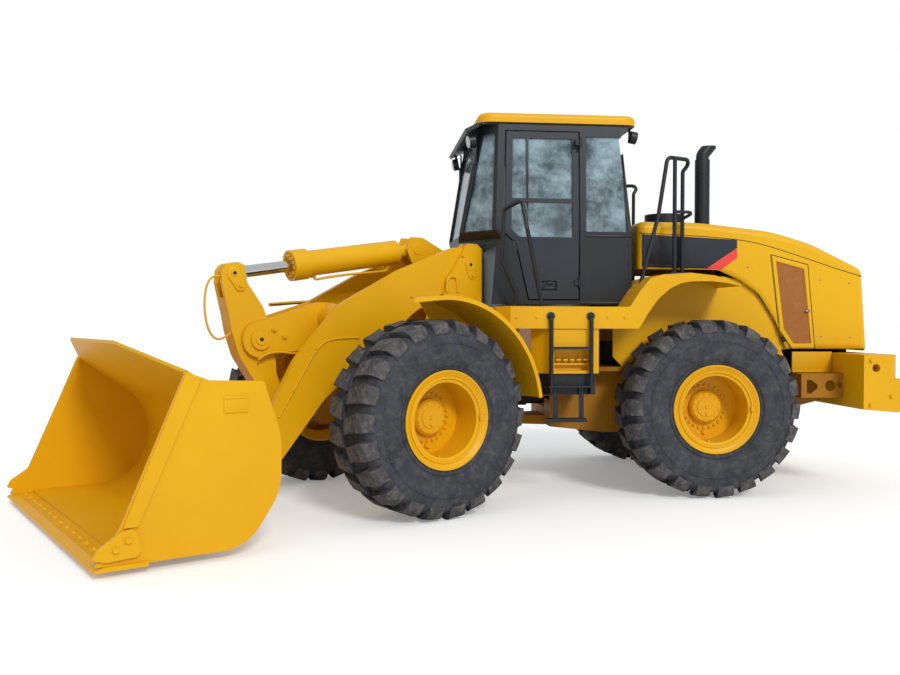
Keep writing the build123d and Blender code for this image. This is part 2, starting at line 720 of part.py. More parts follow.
def hood():
    """A sheet shell with rounded upper edges, open below, with its front wall round the air intake."""
    def body(half, inset, edge):
        side = offset(xz_face(hood_side, hood_bends), amount=-inset, kind=Kind.INTERSECTION) if inset else \
            xz_face(hood_side, hood_bends)
        solid = extrude(Pos(0, -half, 0) * side, amount=2 * half, dir=(0, 1, 0))
        tops = [e for e in solid.edges() if abs(abs(e.center().Y) - half) < 1 and e.center().Z > hood_edge_low]
        return fillet(tops, edge)

    half = hood_half
    shell = body(half, 0, hood_edge) - body(half - hood_skin, hood_skin, hood_edge - hood_skin)
    below = xz_face([(-1140, 2000), (-1140, 2085), (-1940, 2085), (-2170, 1985), (-2360, 1855), (-2530, 1590),
                     (-2640, 1320), (-3462, 1320), (-3462, 1200), (-2400, 1200)])
    shell -= extrude(Pos(0, hood_skin - half, 0) * below, amount=2 * (half - hood_skin), dir=(0, 1, 0))
    for y0, y1 in ((half - 40, half + 10), (-half - 10, -half + 40)):
        shell -= slab(screen, y0, y1)
    shell -= block(-1170, -1140, -420, 420, 2000, 2330)
    shell -= block(-3600, -3380, -480, 480, 1420, 1950)
    return shell + pin_y(hood_hinge, 14, -half + 5, half - 5)


def hood_screens():
    frames = []
    for side in (1, -1):
        y0, y1 = sorted((side * (hood_half - 10), side * (hood_half - 4)))
        frames.append(slab(screen, y0, y1))
    return frames


def rear_grille():
    rear_face = [(-3452, 1420), (-3408, 1950), (-3396, 1950), (-3440, 1420)]
    grille = slab(rear_face, -480, -468) + slab(rear_face, 468, 480) + slab(rear_face, -6, 6)
    for i in range(12):
        z = 1420 + i * 530 / 11.5
        x = -3452 + (z - 1420) * 44 / 530
        grille += block(x, x + 14, -480, 480, z, z + 22)
    return grille


def hood_grilles():
    return group(hood_screens(), rear_grille())


def hood_solid():
    return slab(hood_side, -hood_half, hood_half, hood_bends)


def exhaust():
    x, y = -2010.0, 110.0
    stack = rod((x, y, stack_foot), (x, y, 3240), exhaust_radius)
    stack += bent_tube([(x, y, 3220), (x, y, 3290), (x - 90, y, 3400)], exhaust_radius * 0.86, 60)
    stack -= rod((x, y, 3020), (x, y, 3220), exhaust_radius - 14)
    stack += rod((x, y, stack_foot), (x, y, stack_foot + 86), 130)
    stack -= block(x - 400, x + 400, -400, 400, exhaust_top, exhaust_top + 254)
    return stack - hood_solid()


def precleaner():
    x = -1640.0
    body = rod((x, 0, stack_foot), (x, 0, 2600), 110) + rod((x, 0, 2595), (x, 0, 2682), 192)
    return body - hood_solid()


def stacks():
    """Exhaust and pre-cleaner, which stand on the hood."""
    return group(exhaust(), precleaner())


# ---- Front half ----
def front_frame():
    inner = arm_inner - side_clearance
    outer = arm_inner + arm_thickness + side_clearance
    side_points = [(420, 540), (420, 1260), (640, 1400), (640, 2302), (800, 2302), (1010, 2080),
                   (1130, 1780), (1260, 1400), (2020, 1120), (2060, 980), (2060, 900),
                   (axle_x + 200, 970), (axle_x - 200, 970), (axle_x - 420, 560), (1000, 540)]
    plate_in = slab(side_points, inner - tower_plate, inner)
    tower = [(640, 1180), (640, 2260), (700, 2302), (800, 2302), (1010, 2000), (1130, 1640), (1230, 1180)]
    plate_out = slab(tower, outer, outer + tower_plate)
    web = block(640, 1230, inner, outer, 1180, 1320)
    rear_web = block(640, 656, inner - 5, outer, 1320, 1900)
    rear_web -= pin_y(arm_pivot, 160, inner - 10, outer + 10)
    frame = None
    for one in both_sides(plate_in) + both_sides(plate_out) + both_sides(web) + both_sides(rear_web):
        frame = one if frame is None else frame + one
    wall_half = inner - tower_plate
    wall = block(420, 420 + plate, -wall_half, wall_half, 540, 1260)
    wall -= block(400, 500, -150, 150, hitch_lower_z + 130, hitch_upper_z - 130)
    frame += wall
    frame += block(1950, 1975, -wall_half, wall_half, 990, 1130)
    frame += block(690, 950, -wall_half, wall_half, 1930, 2180)
    frame += block(640, 665, -wall_half, wall_half, 1330, 1930)
    frame += block(1200, 1230, -wall_half, wall_half, 1000, 1290)
    for z in (hitch_lower_z, hitch_upper_z):
        offset_z = hitch_tongue / 2 + side_clearance
        for z0, z1 in ((z - offset_z - 40, z - offset_z), (z + offset_z, z + offset_z + 40)):
            lug_plate = deck([(430, -230), (60, -hitch_lug_radius), (0, -hitch_lug_radius),
                              (0, hitch_lug_radius), (60, hitch_lug_radius), (430, 230)], z0, z1)
            lug_plate += rod((0, 0, z0), (0, 0, z1), hitch_lug_radius)
            lug_plate -= rod((0, 0, z0 - 1), (0, 0, z1 + 1), hitch_radius)
            frame += lug_plate
    sx, sy = steer_pin_front
    for z0, z1 in ((steer_z - 100, steer_z - 66), (steer_z + 66, steer_z + 100)):
        ear = deck([(430, sy - 110), (sx, sy - 75), (sx - 70, sy - 40), (sx - 70, sy + 40), (sx, sy + 75),
                    (430, sy + 30)], z0, z1)
        for one in both_sides(ear):
            frame += one
    for one in both_sides(slab([(700, 1950), (700, 2180), (1090, 2365), (1215, 2365), (1265, 2250),
                                (1215, 2140), (950, 1930)], 66, 94)):
        frame += one
    for one in both_sides(pin_y(arm_pivot, pin_radius + 10, inner - tower_plate, outer + tower_plate + 14)):
        frame += one
    frame += pin_y(tilt_base, pin_radius - running_clearance, -100, 100)
    for one in both_sides(pin_y(lift_base, pin_radius, lift_cylinder_y - 70, wall_half)):
        frame += one
    for one in both_sides(block(2030, tie_down_x + 45, tie_down_y - 40, wall_half + tower_plate,
                                tie_down_z, tie_down_z + tie_down_plate)):
        frame += one
    for one in both_sides(rod((tie_down_x, tie_down_y, tie_down_z - 10),
                              (tie_down_x, tie_down_y, tie_down_z + 40), tie_down_radius)):
        frame -= one
    return frame


def front_fenders():
    centre = (axle_x, tyre_radius)
    crown = arc_points(centre, fender_arc_radius, 172, 88, 21) + [fender_tip]
    skin = slab(ribbon(crown, fender_skin), front_fender_inner, front_fender_outer)
    swept = deck([(fender_tip[0] + 1, front_fender_outer), (axle_x - 30, front_fender_inner - 5),
                  (fender_tip[0] + 99, front_fender_inner - 5), (fender_tip[0] + 99, front_fender_outer)],
                 1600, 1900)
    skin -= swept
    lip = slab(ribbon(crown, 36), front_fender_outer - 10, front_fender_outer)
    web_points = arc_points(centre, fender_arc_radius - 2, 95, 150, 12)
    web = slab(web_points + [(1130, 1330), (1230, 1290)], front_fender_inner, front_fender_inner + fender_skin)
    tower_face = arm_inner + arm_thickness + side_clearance + tower_plate
    bracket = block(1000, 1060, tower_face, front_fender_inner, 1400, 1460)
    side = skin + lip + web + bracket
    return group(both_sides(side))


def lift_arms():
    y0, y1 = arm_inner, arm_inner + arm_thickness
    outline = [(740, 2253), (931, 2264), (1530, 2034), (2129, 1720), (2538, 1266), (2752, 869), (3080, 520),
               (2900, 335), (2658, 456), (2275, 924), (1373, 1664), (1101, 1820), (700, 1985)]
    arm = slab(outline, y0, y1, [20, 150, 250, 400, 500, 300, 60, 60, 60, 200, 200, 60, 60])
    arm += pin_y(arm_pivot, 146, y0, y1)
    arm += pin_y(bucket_pivot, 128, y0, y1)
    arm += pin_y(lift_eye, 92, y0 - 20, y1)
    arm -= pin_y(arm_pivot, pin_radius + 10 + running_clearance, y0 - 1, y1 + 1)
    arm -= pin_y(bucket_pivot, pin_radius + running_clearance, y0 - 1, y1 + 1)
    arms = None
    for one in both_sides(arm):
        arms = one if arms is None else arms + one
    arms += pin_y(arm_tube, arm_tube_radius, -y0, y0)
    bracket = slab([(1960, 1560), (2000, 1740), (2200, 1745), (2690, 1592), (bell_pivot[0] + 60, 1570),
                    (bell_pivot[0] + 60, 1300), (2560, 1310), (2300, 1340), (2080, 1460)],
                   bell_half + side_clearance, bell_half + side_clearance + bracket_plate,
                   [20, 80, 80, 60, 60, 60, 60, 60, 20])
    bracket += pin_y(bell_pivot, bell_boss_radius + 2, bell_half + side_clearance,
                     bell_half + side_clearance + bracket_plate)
    bracket -= pin_y(bell_pivot, pin_radius + running_clearance, 0, 300)
    for one in both_sides(bracket):
        arms += one
    for side in (1, -1):
        arms += pin_y(lift_eye, pin_radius, side * (lift_cylinder_y + 78), side * y0)
    return arms


def bucket_pins():
    low = arm_inner - side_clearance - 30
    high = arm_inner + arm_thickness + side_clearance + 30
    pin = pin_y(bucket_pivot, pin_radius, low, high)
    pin += pin_y(bucket_pivot, pin_radius + 32, high + seat_gap, high + 18) - pin_y(bucket_pivot, 20, high + 8,
                                                                                  high + 20)
    pin += pin_y(bucket_pivot, pin_radius, high, high + 8)
    return group(both_sides(pin))


def bell_pin():
    reach = bell_half + side_clearance + bracket_plate + 22
    pin = pin_y(bell_pivot, pin_radius, -reach, reach)
    for side in (1, -1):
        pin += pin_y(bell_pivot, 86, side * (reach - 22 + seat_gap), side * reach)
    return pin


def bellcrank():
    front = [(2860, 2075), (3035, 2050), (3050, 1900), (2990, 1640), (2965, 1500), (2900, 1290), (2760, 1070),
             (2600, 800), (2550, 600), (2400, 545), (2350, 640), (2480, 900), (2570, 1130), (2590, 1430),
             (2690, 1700), (2830, 1900)]
    body = slab(front, -bell_half, bell_half,
                [70, 90, 90, 200, 300, 300, 300, 200, 60, 60, 60, 250, 250, 300, 200, 100])
    body += pin_y(bell_pivot, bell_boss_radius, -bell_half, bell_half)
    body -= pin_y(bell_pivot, pin_radius + running_clearance, -200, 200)
    head_cut = pin_y(rod_eye, 215, -52, 52) + block(2700, 3200, -52, 52, 1975, 2300)
    foot_cut = pin_y(bell_foot, 285, -52, 52) + block(2200, 2450, -52, 52, 400, 700)
    body -= head_cut + foot_cut
    for point in (rod_eye, bell_foot):
        body -= pin_y(point, pin_radius - 8, -200, 200)
    return body


def bucket_link():
    width = 44.0
    link = pin_y(bell_foot, 72, -width, width) + pin_y(link_head, 72, -width, width)
    tilt = bearing(bell_foot, link_head)
    up, down = polar(bell_foot, tilt + 90, 52), polar(bell_foot, tilt - 90, 52)
    far_up, far_down = polar(link_head, tilt + 90, 52), polar(link_head, tilt - 90, 52)
    link += slab([up, far_up, far_down, down], -width, width)
    link -= pin_y(bell_foot, pin_radius - 8, -100, 100)
    link -= pin_y(link_head, pin_radius - 5 + running_clearance, -100, 100)
    return link


def link_pin():
    return pin_y(link_head, pin_radius - 5, -86, 86)


def bucket_inside():
    """Side view of the bucket's inner faces: floor, bend and straight upper sheet, open to the front."""
    top, far = bucket_floor + bucket_skin, 4600.0
    slope = radians(bucket_back_slope)
    corner = bucket_bend_x - bucket_bend / tan(slope / 2)
    return xz_face([(far, top), (corner, top), (far, top + (far - corner) * tan(slope))], [1, bucket_bend, 1])


def bucket():
    skin, half = bucket_skin, bucket_half
    hollow = bucket_inside()
    outer = offset(hollow, amount=skin, kind=Kind.INTERSECTION)
    shell = extrude(Pos(0, -half, 0) * outer, amount=2 * half, dir=(0, 1, 0))
    shell -= extrude(Pos(0, -half - 5, 0) * hollow, amount=2 * half + 10, dir=(0, 1, 0))
    shell -= block(4200, 4800, -half - 5, half + 5, 0, 1000)
    lip, run = bucket_lip, bucket_lip_corner - (bucket_lip - bucket_lip_corner) / 8
    past = half + (half - bucket_lip_half) / 8
    shell -= deck([(lip, -bucket_lip_half), (lip, bucket_lip_half), (run, past), (4900, past), (4900, -past),
                   (run, -past)], 1000, 2600)
    side = slab([(4385, bucket_floor), (4055, bucket_floor), (4055, 62), (3400, 62), (3150, 420), (3150, 800),
                 (3277, 1177), (3655, 1196), (3815, 1257), (4230, 299)], half - skin, half,
                [5, 5, 5, 330, 400, 500, 20, 30, 5, 100])
    strip = slab([(3716, 1212), (3815, 1257), (4216, 300), (4123, 300)], half, half + 18, [3, 3, 3, 3])
    for one in both_sides(side) + both_sides(strip):
        shell += one
    lugs = []
    ear = [(3340, 240), (3240, 640), (3060, 590), (2880, 520), (2880, 330), (3060, 290)]
    inner = arm_inner - side_clearance
    outer_y = arm_inner + arm_thickness + side_clearance
    for y0, y1 in ((inner - 30, inner), (outer_y, outer_y + 30)):
        lug_plate = slab(ear, y0, y1, [3, 3, 30, 80, 80, 30])
        lug_plate -= pin_y(bucket_pivot, pin_radius + running_clearance, y0 - 1, y1 + 1)
        lugs.append(lug_plate)
    link_ear = slab([(3240, 540), (3360, 900), (3120, 800), (3000, 760), (3000, 640), (3120, 560)], 52, 82,
                    [3, 3, 30, 60, 60, 30])
    link_ear -= pin_y(link_head, pin_radius - 5 + running_clearance, 0, 100)
    lugs.append(link_ear)
    inside = extrude(Pos(0, -half, 0) * hollow, amount=2 * half, dir=(0, 1, 0))
    for piece in lugs:
        piece -= inside
        for one in both_sides(piece):
            shell += one
    return shell


def cutting_edge():
    low = bucket_floor - edge_thickness
    return slab([(4060, bucket_floor), (4060, low), (bucket_tip + 8, low), (bucket_tip + 4, bucket_floor - 18),
                 (4330, bucket_floor)], -bucket_half - 20, bucket_half + 20)


def cutters():
    outline = [(4130, 115), (4323, 106), (4401, 129), (4370, 189), (4227, 284), (4167, 293), (4129, 265),
               (4108, 151)]
    return both_sides(slab(outline, bucket_half, bucket_half + 28, [8, 20, 8, 20, 10, 10, 10, 15]))


def ground_tools():
    """The bolted cutting edge and the cutters at its corners."""
    return group(cutting_edge(), cutters())


def tilt_barrel():
    angle = bearing(tilt_base, rod_eye)
    def at(distance, y=0.0):
        x, z = polar(tilt_base, angle, distance)
        return (x, y, z)
    barrel = rod(at(190), at(1120), tilt_barrel_radius)
    barrel += rod(at(1120), at(1270), tilt_barrel_radius + 22)
    barrel += pin_y(tilt_base, 88, -60, 60)
    neck = rod(at(60), at(200), 58)
    barrel += neck
    barrel -= rod(at(1262), at(1272), tilt_barrel_radius)
    barrel -= rod(at(330), at(1300), tilt_rod_radius + 1)
    barrel -= pin_y(tilt_base, pin_radius, -100, 100)
    return barrel


def tilt_rod():
    angle = bearing(tilt_base, rod_eye)
    def at(distance):
        x, z = polar(tilt_base, angle, distance)
        return (x, 0, z)
    reach = span(tilt_base, rod_eye)
    piece = rod(at(430), at(reach - 60), tilt_rod_radius)
    piece += rod(at(reach - 130), at(reach - 50), 62) & block(0, 9999, -44, 44, 0, 9999)
    piece += pin_y(rod_eye, 78, -44, 44)
    piece -= pin_y(rod_eye, pin_radius - 8, -60, 60)
    return piece


def cylinder_pair(base, eye, y, barrel_radius, rod_radius, barrel_end, width):
    """A barrel with its base eye, and a rod with its eye, along a side-view line."""
    angle = bearing(base, eye)
    def at(distance):
        x, z = polar(base, angle, distance)
        return (x, y, z)
    reach = span(base, eye)
    barrel = rod(at(150), at(barrel_end), barrel_radius) + pin_y(base, 74, y - width, y + width)
    barrel += rod(at(50), at(160), 44)
    barrel -= rod(at(180), at(barrel_end + 10), rod_radius + 1)
    barrel -= pin_y(base, pin_radius + running_clearance, y - width - 1, y + width + 1)
    piston = rod(at(195), at(reach - 60), rod_radius) + pin_y(eye, 72, y - width, y + width)
    piston += rod(at(reach - 120), at(reach - 50), 50)
    return barrel, piston


def lift_cylinder():
    end = span(lift_base, lift_eye) - 170
    return cylinder_pair(lift_base, lift_eye, lift_cylinder_y, lift_barrel_radius, lift_rod_radius, end, 55)


def lift_barrels():
    return group(both_sides(lift_cylinder()[0]))


def lift_rods():
    return group(both_sides(lift_cylinder()[1]))


def steer_cylinder(side):
    """Barrel and rod of one steering cylinder as they stand at steer_rest; x and y in plan."""
    base = (steer_pin_rear[0], side * steer_pin_rear[1])
    turn = radians(steer_rest)
    fx, fy = steer_pin_front[0], side * steer_pin_front[1]
    eye = (fx * cos(turn) - fy * sin(turn), fx * sin(turn) + fy * cos(turn))
    angle = bearing(base, eye)
    def at(distance):
        x, y = polar(base, angle, distance)
        return (x, y, steer_z)
    reach = span(base, eye)
    barrel_end = steer_barrel_length
    low, high = steer_z - 52, steer_z + 52
    barrel = rod(at(80), at(barrel_end), steer_barrel_radius) + rod((*base, low), (*base, high), 48)
    barrel -= rod(at(115), at(barrel_end + 10), steer_rod_radius + 1)
    barrel -= rod((*base, low - 1), (*base, high + 1), steer_pin_radius + running_clearance)
    piston = rod(at(reach - steer_rod_length), at(reach - 30), steer_rod_radius) + rod((*eye, low), (*eye, high), 46)
    piston -= rod((*eye, low - 1), (*eye, high + 1), 22)
    return barrel, piston, base, eye


def steer_base_pins():
    low, high = steer_z - 92, steer_z + 92
    x, y = steer_pin_rear
    return both_sides(rod((x, y, low), (x, y, high), steer_pin_radius))


def hitch_pins():
    """Both hitch pins, carried by the rear frame."""
    pins = []
    reach = hitch_tongue / 2 + side_clearance + 40
    for z in (hitch_lower_z, hitch_upper_z):
        pins.append(rod((0, 0, z - reach - 10), (0, 0, z + reach + 10), hitch_radius - running_clearance))
    return pins


def frame_pins():
    """Hitch pins, steering cylinder base pins and the tow pin, all carried by the rear frame."""
    return group(hitch_pins(), steer_base_pins(), tow_pin())


# ---- Assembly ----
def build():
    """Every node's shape by name, with the half that it belongs to."""
    tyre_shape = tyre()
    rim_shape = rim()
    rear, front = {}, {}
    for name, side in (("left", 1), ("right", -1)):
        rear[f"tyre_rear_{name}"] = wheel_set(tyre_shape, -axle_x, side)
        rear[f"rim_rear_{name}"] = wheel_set(rim_shape, -axle_x, side)
        front[f"tyre_front_{name}"] = wheel_set(tyre_shape, axle_x, side)
        front[f"rim_front_{name}"] = wheel_set(rim_shape, axle_x, side)
        barrel, piston, _, _ = steer_cylinder(side)
        rear[f"steer_barrel_{name}"] = barrel
        rear[f"steer_rod_{name}"] = piston
    rear_makers = (rear_frame, frame_pins, counterweight, rear_axle, powertrain, rear_fenders, service_boxes,
                   ladders_and_rails, cab_frame, cab_door, cab_glass, door_glass, cab_roof, lamps,
                   cab_interior, hood, hood_grilles, stacks)
    front_makers = (front_frame, front_axle, front_fenders, lift_arms, bucket_pins, bell_pin, bellcrank,
                    bucket_link, link_pin, bucket, ground_tools, tilt_barrel, tilt_rod, lift_barrels,
                    lift_rods)
    for maker in rear_makers:
        rear[maker.__name__] = maker()
    for maker in front_makers:
        front[maker.__name__] = maker()
    return rear, front


def assemble():
    """All nodes in the stored frame, and the move that brings machine coordinates there."""
    rear, front = build()
    turned = {name: Rot(0, 0, steer_rest) * shape for name, shape in front.items()}
    nodes = {**rear, **turned}
    low = [min(getattr(s.bounding_box().min, a) for s in nodes.values()) for a in "XYZ"]
    high = [max(getattr(s.bounding_box().max, a) for s in nodes.values()) for a in "XYZ"]
    move = (-(low[0] + high[0]) / 2, -(low[1] + high[1]) / 2, -low[2])
    return {name: Pos(*move) * shape for name, shape in nodes.items()}, move


def main():
    os.makedirs("parts", exist_ok=True)
    nodes, move = assemble()
    for name, shape in nodes.items():
        export_step(shape, f"parts/{name}.step")
    print("nodes", len(nodes), "move", [round(v, 3) for v in move])


if __name__ == "__main__":
    main()
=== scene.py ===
import json
import math

import bmesh
import bpy
from mathutils import Matrix, Vector


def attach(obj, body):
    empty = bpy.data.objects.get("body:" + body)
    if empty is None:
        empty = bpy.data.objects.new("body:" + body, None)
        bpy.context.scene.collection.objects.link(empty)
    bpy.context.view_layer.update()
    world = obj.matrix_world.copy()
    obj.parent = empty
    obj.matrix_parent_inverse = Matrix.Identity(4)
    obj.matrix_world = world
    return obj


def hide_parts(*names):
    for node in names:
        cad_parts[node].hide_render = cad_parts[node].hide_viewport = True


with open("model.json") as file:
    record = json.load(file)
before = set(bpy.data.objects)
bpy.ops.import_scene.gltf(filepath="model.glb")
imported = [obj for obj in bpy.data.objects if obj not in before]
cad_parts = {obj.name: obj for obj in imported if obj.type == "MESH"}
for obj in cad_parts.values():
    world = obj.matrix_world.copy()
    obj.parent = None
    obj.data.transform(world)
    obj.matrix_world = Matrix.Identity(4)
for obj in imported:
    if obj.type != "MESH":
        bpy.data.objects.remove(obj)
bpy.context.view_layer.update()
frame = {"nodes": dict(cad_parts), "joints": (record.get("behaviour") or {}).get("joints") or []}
joints = {j["name"]: j for j in frame["joints"]}
print("frame loaded:", len(frame["nodes"]), "nodes")

# ---- places: millimetres along each half of the machine, turned into the frame's metres ----
hitch = joints["steer"]["pos_m"]
liftAxis = joints["lift"]["axis"]
turn = math.atan2(liftAxis[0], -liftAxis[1])  # how far the front half stands turned
wheelCentre = Vector(joints["roll_rear_left"]["pos_m"])
machine = {"axleX": 1675.0, "wheelY": 1070.0, "wheelRadius": 800.0}  # both axles lie this far from the hitch
floorLift = wheelCentre.z - machine["wheelRadius"] / 1000


def rearPlace():
    return Matrix.Translation((hitch[0], hitch[1], floorLift)) @ Matrix.Scale(0.001, 4)


def frontPlace():
    return rearPlace() @ Matrix.Rotation(turn, 4, "Z")


# ---- materials ----
def linear(code):
    parts = [int(code[i:i + 2], 16) / 255 for i in (1, 3, 5)]
    return [c / 12.92 if c <= 0.04045 else ((c + 0.055) / 1.055) ** 2.4 for c in parts] + [1.0]


def addNode(tree, kind, settings=None, inputs=None):
    node = tree.nodes.new(kind)
    for key, value in (settings or {}).items():
        setattr(node, key, value)
    for key, value in (inputs or {}).items():
        if isinstance(value, bpy.types.NodeSocket):
            tree.links.new(value, node.inputs[key])
        else:
            node.inputs[key].default_value = value
    return node


def startMaterial(name, surface):
    material = bpy.data.materials.new(name)
    material.use_nodes = True
    tree = material.node_tree
    tree.nodes.clear()
    shader = addNode(tree, "ShaderNodeBsdfPrincipled", None, surface)
    out = addNode(tree, "ShaderNodeOutputMaterial")
    tree.links.new(shader.outputs[0], out.inputs[0])
    place = addNode(tree, "ShaderNodeTexCoord").outputs["Object"]
    return material, tree, shader, place


def addNoise(tree, place, size, detail=4.0, rough=0.5):
    # size is one blotch's width in millimetres
    return addNode(tree, "ShaderNodeTexNoise", None, {"Vector": place, "Scale": 1000.0 / size, "Detail": detail,
                                                      "Roughness": rough}).outputs["Fac"]


def blendColours(tree, factor, low, high, start=0.35, end=0.65):
    ramp = addNode(tree, "ShaderNodeValToRGB", None, {"Fac": factor})
    ramp.color_ramp.elements[0].position = start
    ramp.color_ramp.elements[1].position = end
    ramp.color_ramp.elements[0].color = low if isinstance(low, list) else linear(low)
    ramp.color_ramp.elements[1].color = high if isinstance(high, list) else linear(high)
    return ramp.outputs["Color"]


def mixColours(tree, factor, first, second):
    return addNode(tree, "ShaderNodeMix", {"data_type": "RGBA"}, {0: factor, 6: first, 7: second}).outputs[2]


def makeEnamel(name, main, worn, roughness=0.46, dust="#c09a36", dusty=0.12):
    # sprayed enamel over plate: even colour with broad faded patches, an orange peel of about 3 mm, and a thin
    # film of dust on what faces up
    material, tree, shader, place = startMaterial(name, {"Roughness": roughness, "Coat Weight": 0.06,
                                                         "Coat Roughness": 0.2, "IOR": 1.33})
    colour = blendColours(tree, addNoise(tree, place, 900, 3.0), worn, main, 0.3, 0.62)
    up = addNode(tree, "ShaderNodeSeparateXYZ", None, {0: addNode(tree, "ShaderNodeNewGeometry").outputs["Normal"]})
    product = {"operation": "MULTIPLY", "use_clamp": True}
    film = addNode(tree, "ShaderNodeMath", product, {0: up.outputs["Z"], 1: addNoise(tree, place, 260, 8.0, 0.7)})
    film = addNode(tree, "ShaderNodeMath", product, {0: film.outputs[0], 1: dusty})
    colour = mixColours(tree, film.outputs[0], colour, linear(dust))
    tree.links.new(colour, shader.inputs["Base Color"])
    peel = addNoise(tree, place, 3.0, 2.0)
    bump = addNode(tree, "ShaderNodeBump", None, {"Strength": 0.05, "Distance": 0.001, "Height": peel})
    tree.links.new(bump.outputs[0], shader.inputs["Normal"])
    return material


def makeRubber(name, main, worn, patch=140, dusty=0.5, dust="#7a7068"):
    # moulded natural rubber: nearly black and dull, greyed by dust that stays in its fine pores
    material, tree, shader, place = startMaterial(name, {"Roughness": 0.82, "Specular IOR Level": 0.3})
    colour = blendColours(tree, addNoise(tree, place, patch, 8.0, 0.65), main, worn, 0.4, 0.68)
    rubbed = blendColours(tree, addNoise(tree, place, patch * 0.35, 6.0, 0.7), [0, 0, 0, 1],
                          [dusty, dusty, dusty, 1], 0.48, 0.72)
    colour = mixColours(tree, rubbed, colour, linear(dust))
    tree.links.new(colour, shader.inputs["Base Color"])
    bump = addNode(tree, "ShaderNodeBump", None, {"Strength": 0.3, "Distance": 0.002,
                                                  "Height": addNoise(tree, place, 8.0, 4.0)})
    tree.links.new(bump.outputs[0], shader.inputs["Normal"])
    return material


def makeMetal(name, main, bright, roughness, grain=6.0):
    # ground or plated steel: bright, with fine marks from grinding, drawn about 6 mm long to show
    material, tree, shader, place = startMaterial(name, {"Metallic": 1.0, "Roughness": roughness})
    tree.links.new(blendColours(tree, addNoise(tree, place, grain), main, bright, 0.3, 0.8),
                   shader.inputs["Base Color"])
    return material


def makeGlass(name, tintAndReflection, cover):
    # tempered cab glass, lightly tinted: mostly clear and very smooth, so that it shows the pale sky; its colour also
    # drifts in broad patches from the dark tint to a pale blue-grey, painted reflections of a cloudy sky
    material, tree, shader, place = startMaterial(name, {"Roughness": 0.02, "IOR": 1.52, "Alpha": cover,
                                                         "Coat Weight": 0.6, "Coat Roughness": 0.02})
    tree.links.new(blendColours(tree, addNoise(tree, place, 340, 6.0, 0.65), tintAndReflection[0], tintAndReflection[1], 0.4, 0.62),
                   shader.inputs["Base Color"])
    return material


def makeMesh(name, wire, holeShade):
    # punched sheet behind the hood's doors: brown with dust, its 12 mm holes drawn as dark dots of painted shade, the
    # shaded inside seen through them
    material, tree, shader, place = startMaterial(name, {"Roughness": 0.7})
    holes = addNode(tree, "ShaderNodeTexVoronoi", None, {"Vector": place, "Scale": 83.0, "Randomness": 0.0})
    dots = blendColours(tree, holes.outputs["Distance"], holeShade, wire, 0.3, 0.42)
    rubbed = blendColours(tree, addNoise(tree, place, 90, 8.0, 0.7), [0, 0, 0, 1], [0.55, 0.55, 0.55, 1], 0.45, 0.75)
    tree.links.new(mixColours(tree, rubbed, dots, linear("#b2742a")), shader.inputs["Base Color"])
    return material


def makePlastic(name, main, pale, roughness=0.5):
    # moulded ABS or powder-coated sheet: even and satin, with a fine 2 mm leather grain
    material, tree, shader, place = startMaterial(name, {"Roughness": roughness, "IOR": 1.46})
    tree.links.new(blendColours(tree, addNoise(tree, place, 320, 6.0, 0.6), main, pale, 0.35, 0.7),
                   shader.inputs["Base Color"])
    bump = addNode(tree, "ShaderNodeBump", None, {"Strength": 0.12, "Distance": 0.001,
                                                  "Height": addNoise(tree, place, 2.0, 2.0)})
    tree.links.new(bump.outputs[0], shader.inputs["Normal"])
    return material


def makeCloth(name, main, pale):
    # woven seat cloth: matt with a soft sheen, its 4 mm weave as crossing waves
    material, tree, shader, place = startMaterial(name, {"Roughness": 0.9, "Sheen Weight": 0.4,
                                                         "Sheen Roughness": 0.5})
    across = addNode(tree, "ShaderNodeTexWave", {"bands_direction": "X"}, {"Vector": place, "Scale": 40.0})
    along = addNode(tree, "ShaderNodeTexWave", {"bands_direction": "Y"}, {"Vector": place, "Scale": 40.0})
    weave = addNode(tree, "ShaderNodeMath", {"operation": "MULTIPLY"},
                    {0: across.outputs["Fac"], 1: along.outputs["Fac"]})
    tree.links.new(blendColours(tree, weave.outputs[0], main, pale, 0.1, 0.8), shader.inputs["Base Color"])
    return material


finishes = {
    "sprayedYellow": makeEnamel("sprayedYellow", "#e0a801", "#d89e03"),
    "hoodYellow": makeEnamel("hoodYellow", "#e3ac03", "#dba305", 0.4),
    # a darker copy of the yellow: painted shade for the frame, axles and steering barrels that sit in shade under the
    # machine, with a heavier, darker film of dust on what faces up
    "shadedYellow": makeEnamel("shadedYellow", "#b1780f", "#8f5d16", 0.6, "#7a5a30", 0.6),
    "rimYellow": makeEnamel("rimYellow", "#dfa405", "#d29907", 0.4),
    "satinBlack": makePlastic("satinBlack", "#121519", "#1a1e24", 0.42),
    "cabSheet": makePlastic("cabSheet", "#181d26", "#20262f", 0.48),
    "panelBlack": makePlastic("panelBlack", "#171b26", "#1f2430", 0.4),
    "stripeRed": makePlastic("stripeRed", "#e53a37", "#ee4743", 0.35),
    "castGrey": makePlastic("castGrey", "#2b2723", "#4a4036", 0.8),
    # the screen's second colour is the painted shade in its holes
    "screenSheet": makeMesh("screenSheet", "#9c5c1a", "#54300e"),
    "tyreRubber": makeRubber("tyreRubber", "#32343a", "#43454b", 160, 0.3),
    "lugRubber": makeRubber("lugRubber", "#3b3c40", "#5c5855", 120, 0.8),
    # black rubber for the hood's seams, and painted shade as the black discs that stand for the holes in the pins'
    # ends
    "rubberAndHoleShade": makePlastic("rubberAndHoleShade", "#141416", "#1f2022", 0.6),
    "chromedRod": makeMetal("chromedRod", "#c4c1bb", "#e6e4df", 0.12),
    "groundSteel": makeMetal("groundSteel", "#7c7770", "#a09b92", 0.42),
    # each glass's second, paler colour is a painted reflection
    "cabGlass": makeGlass("cabGlass", ("#485860", "#a8c2cb"), 0.62),
    "lampGlass": makeGlass("lampGlass", ("#c9ccd0", "#e2e4e8"), 0.8),
    "seatCloth": makeCloth("seatCloth", "#141518", "#2a2c30"),
    "cabTrim": makePlastic("cabTrim", "#2b2d31", "#383a3f", 0.6),
}
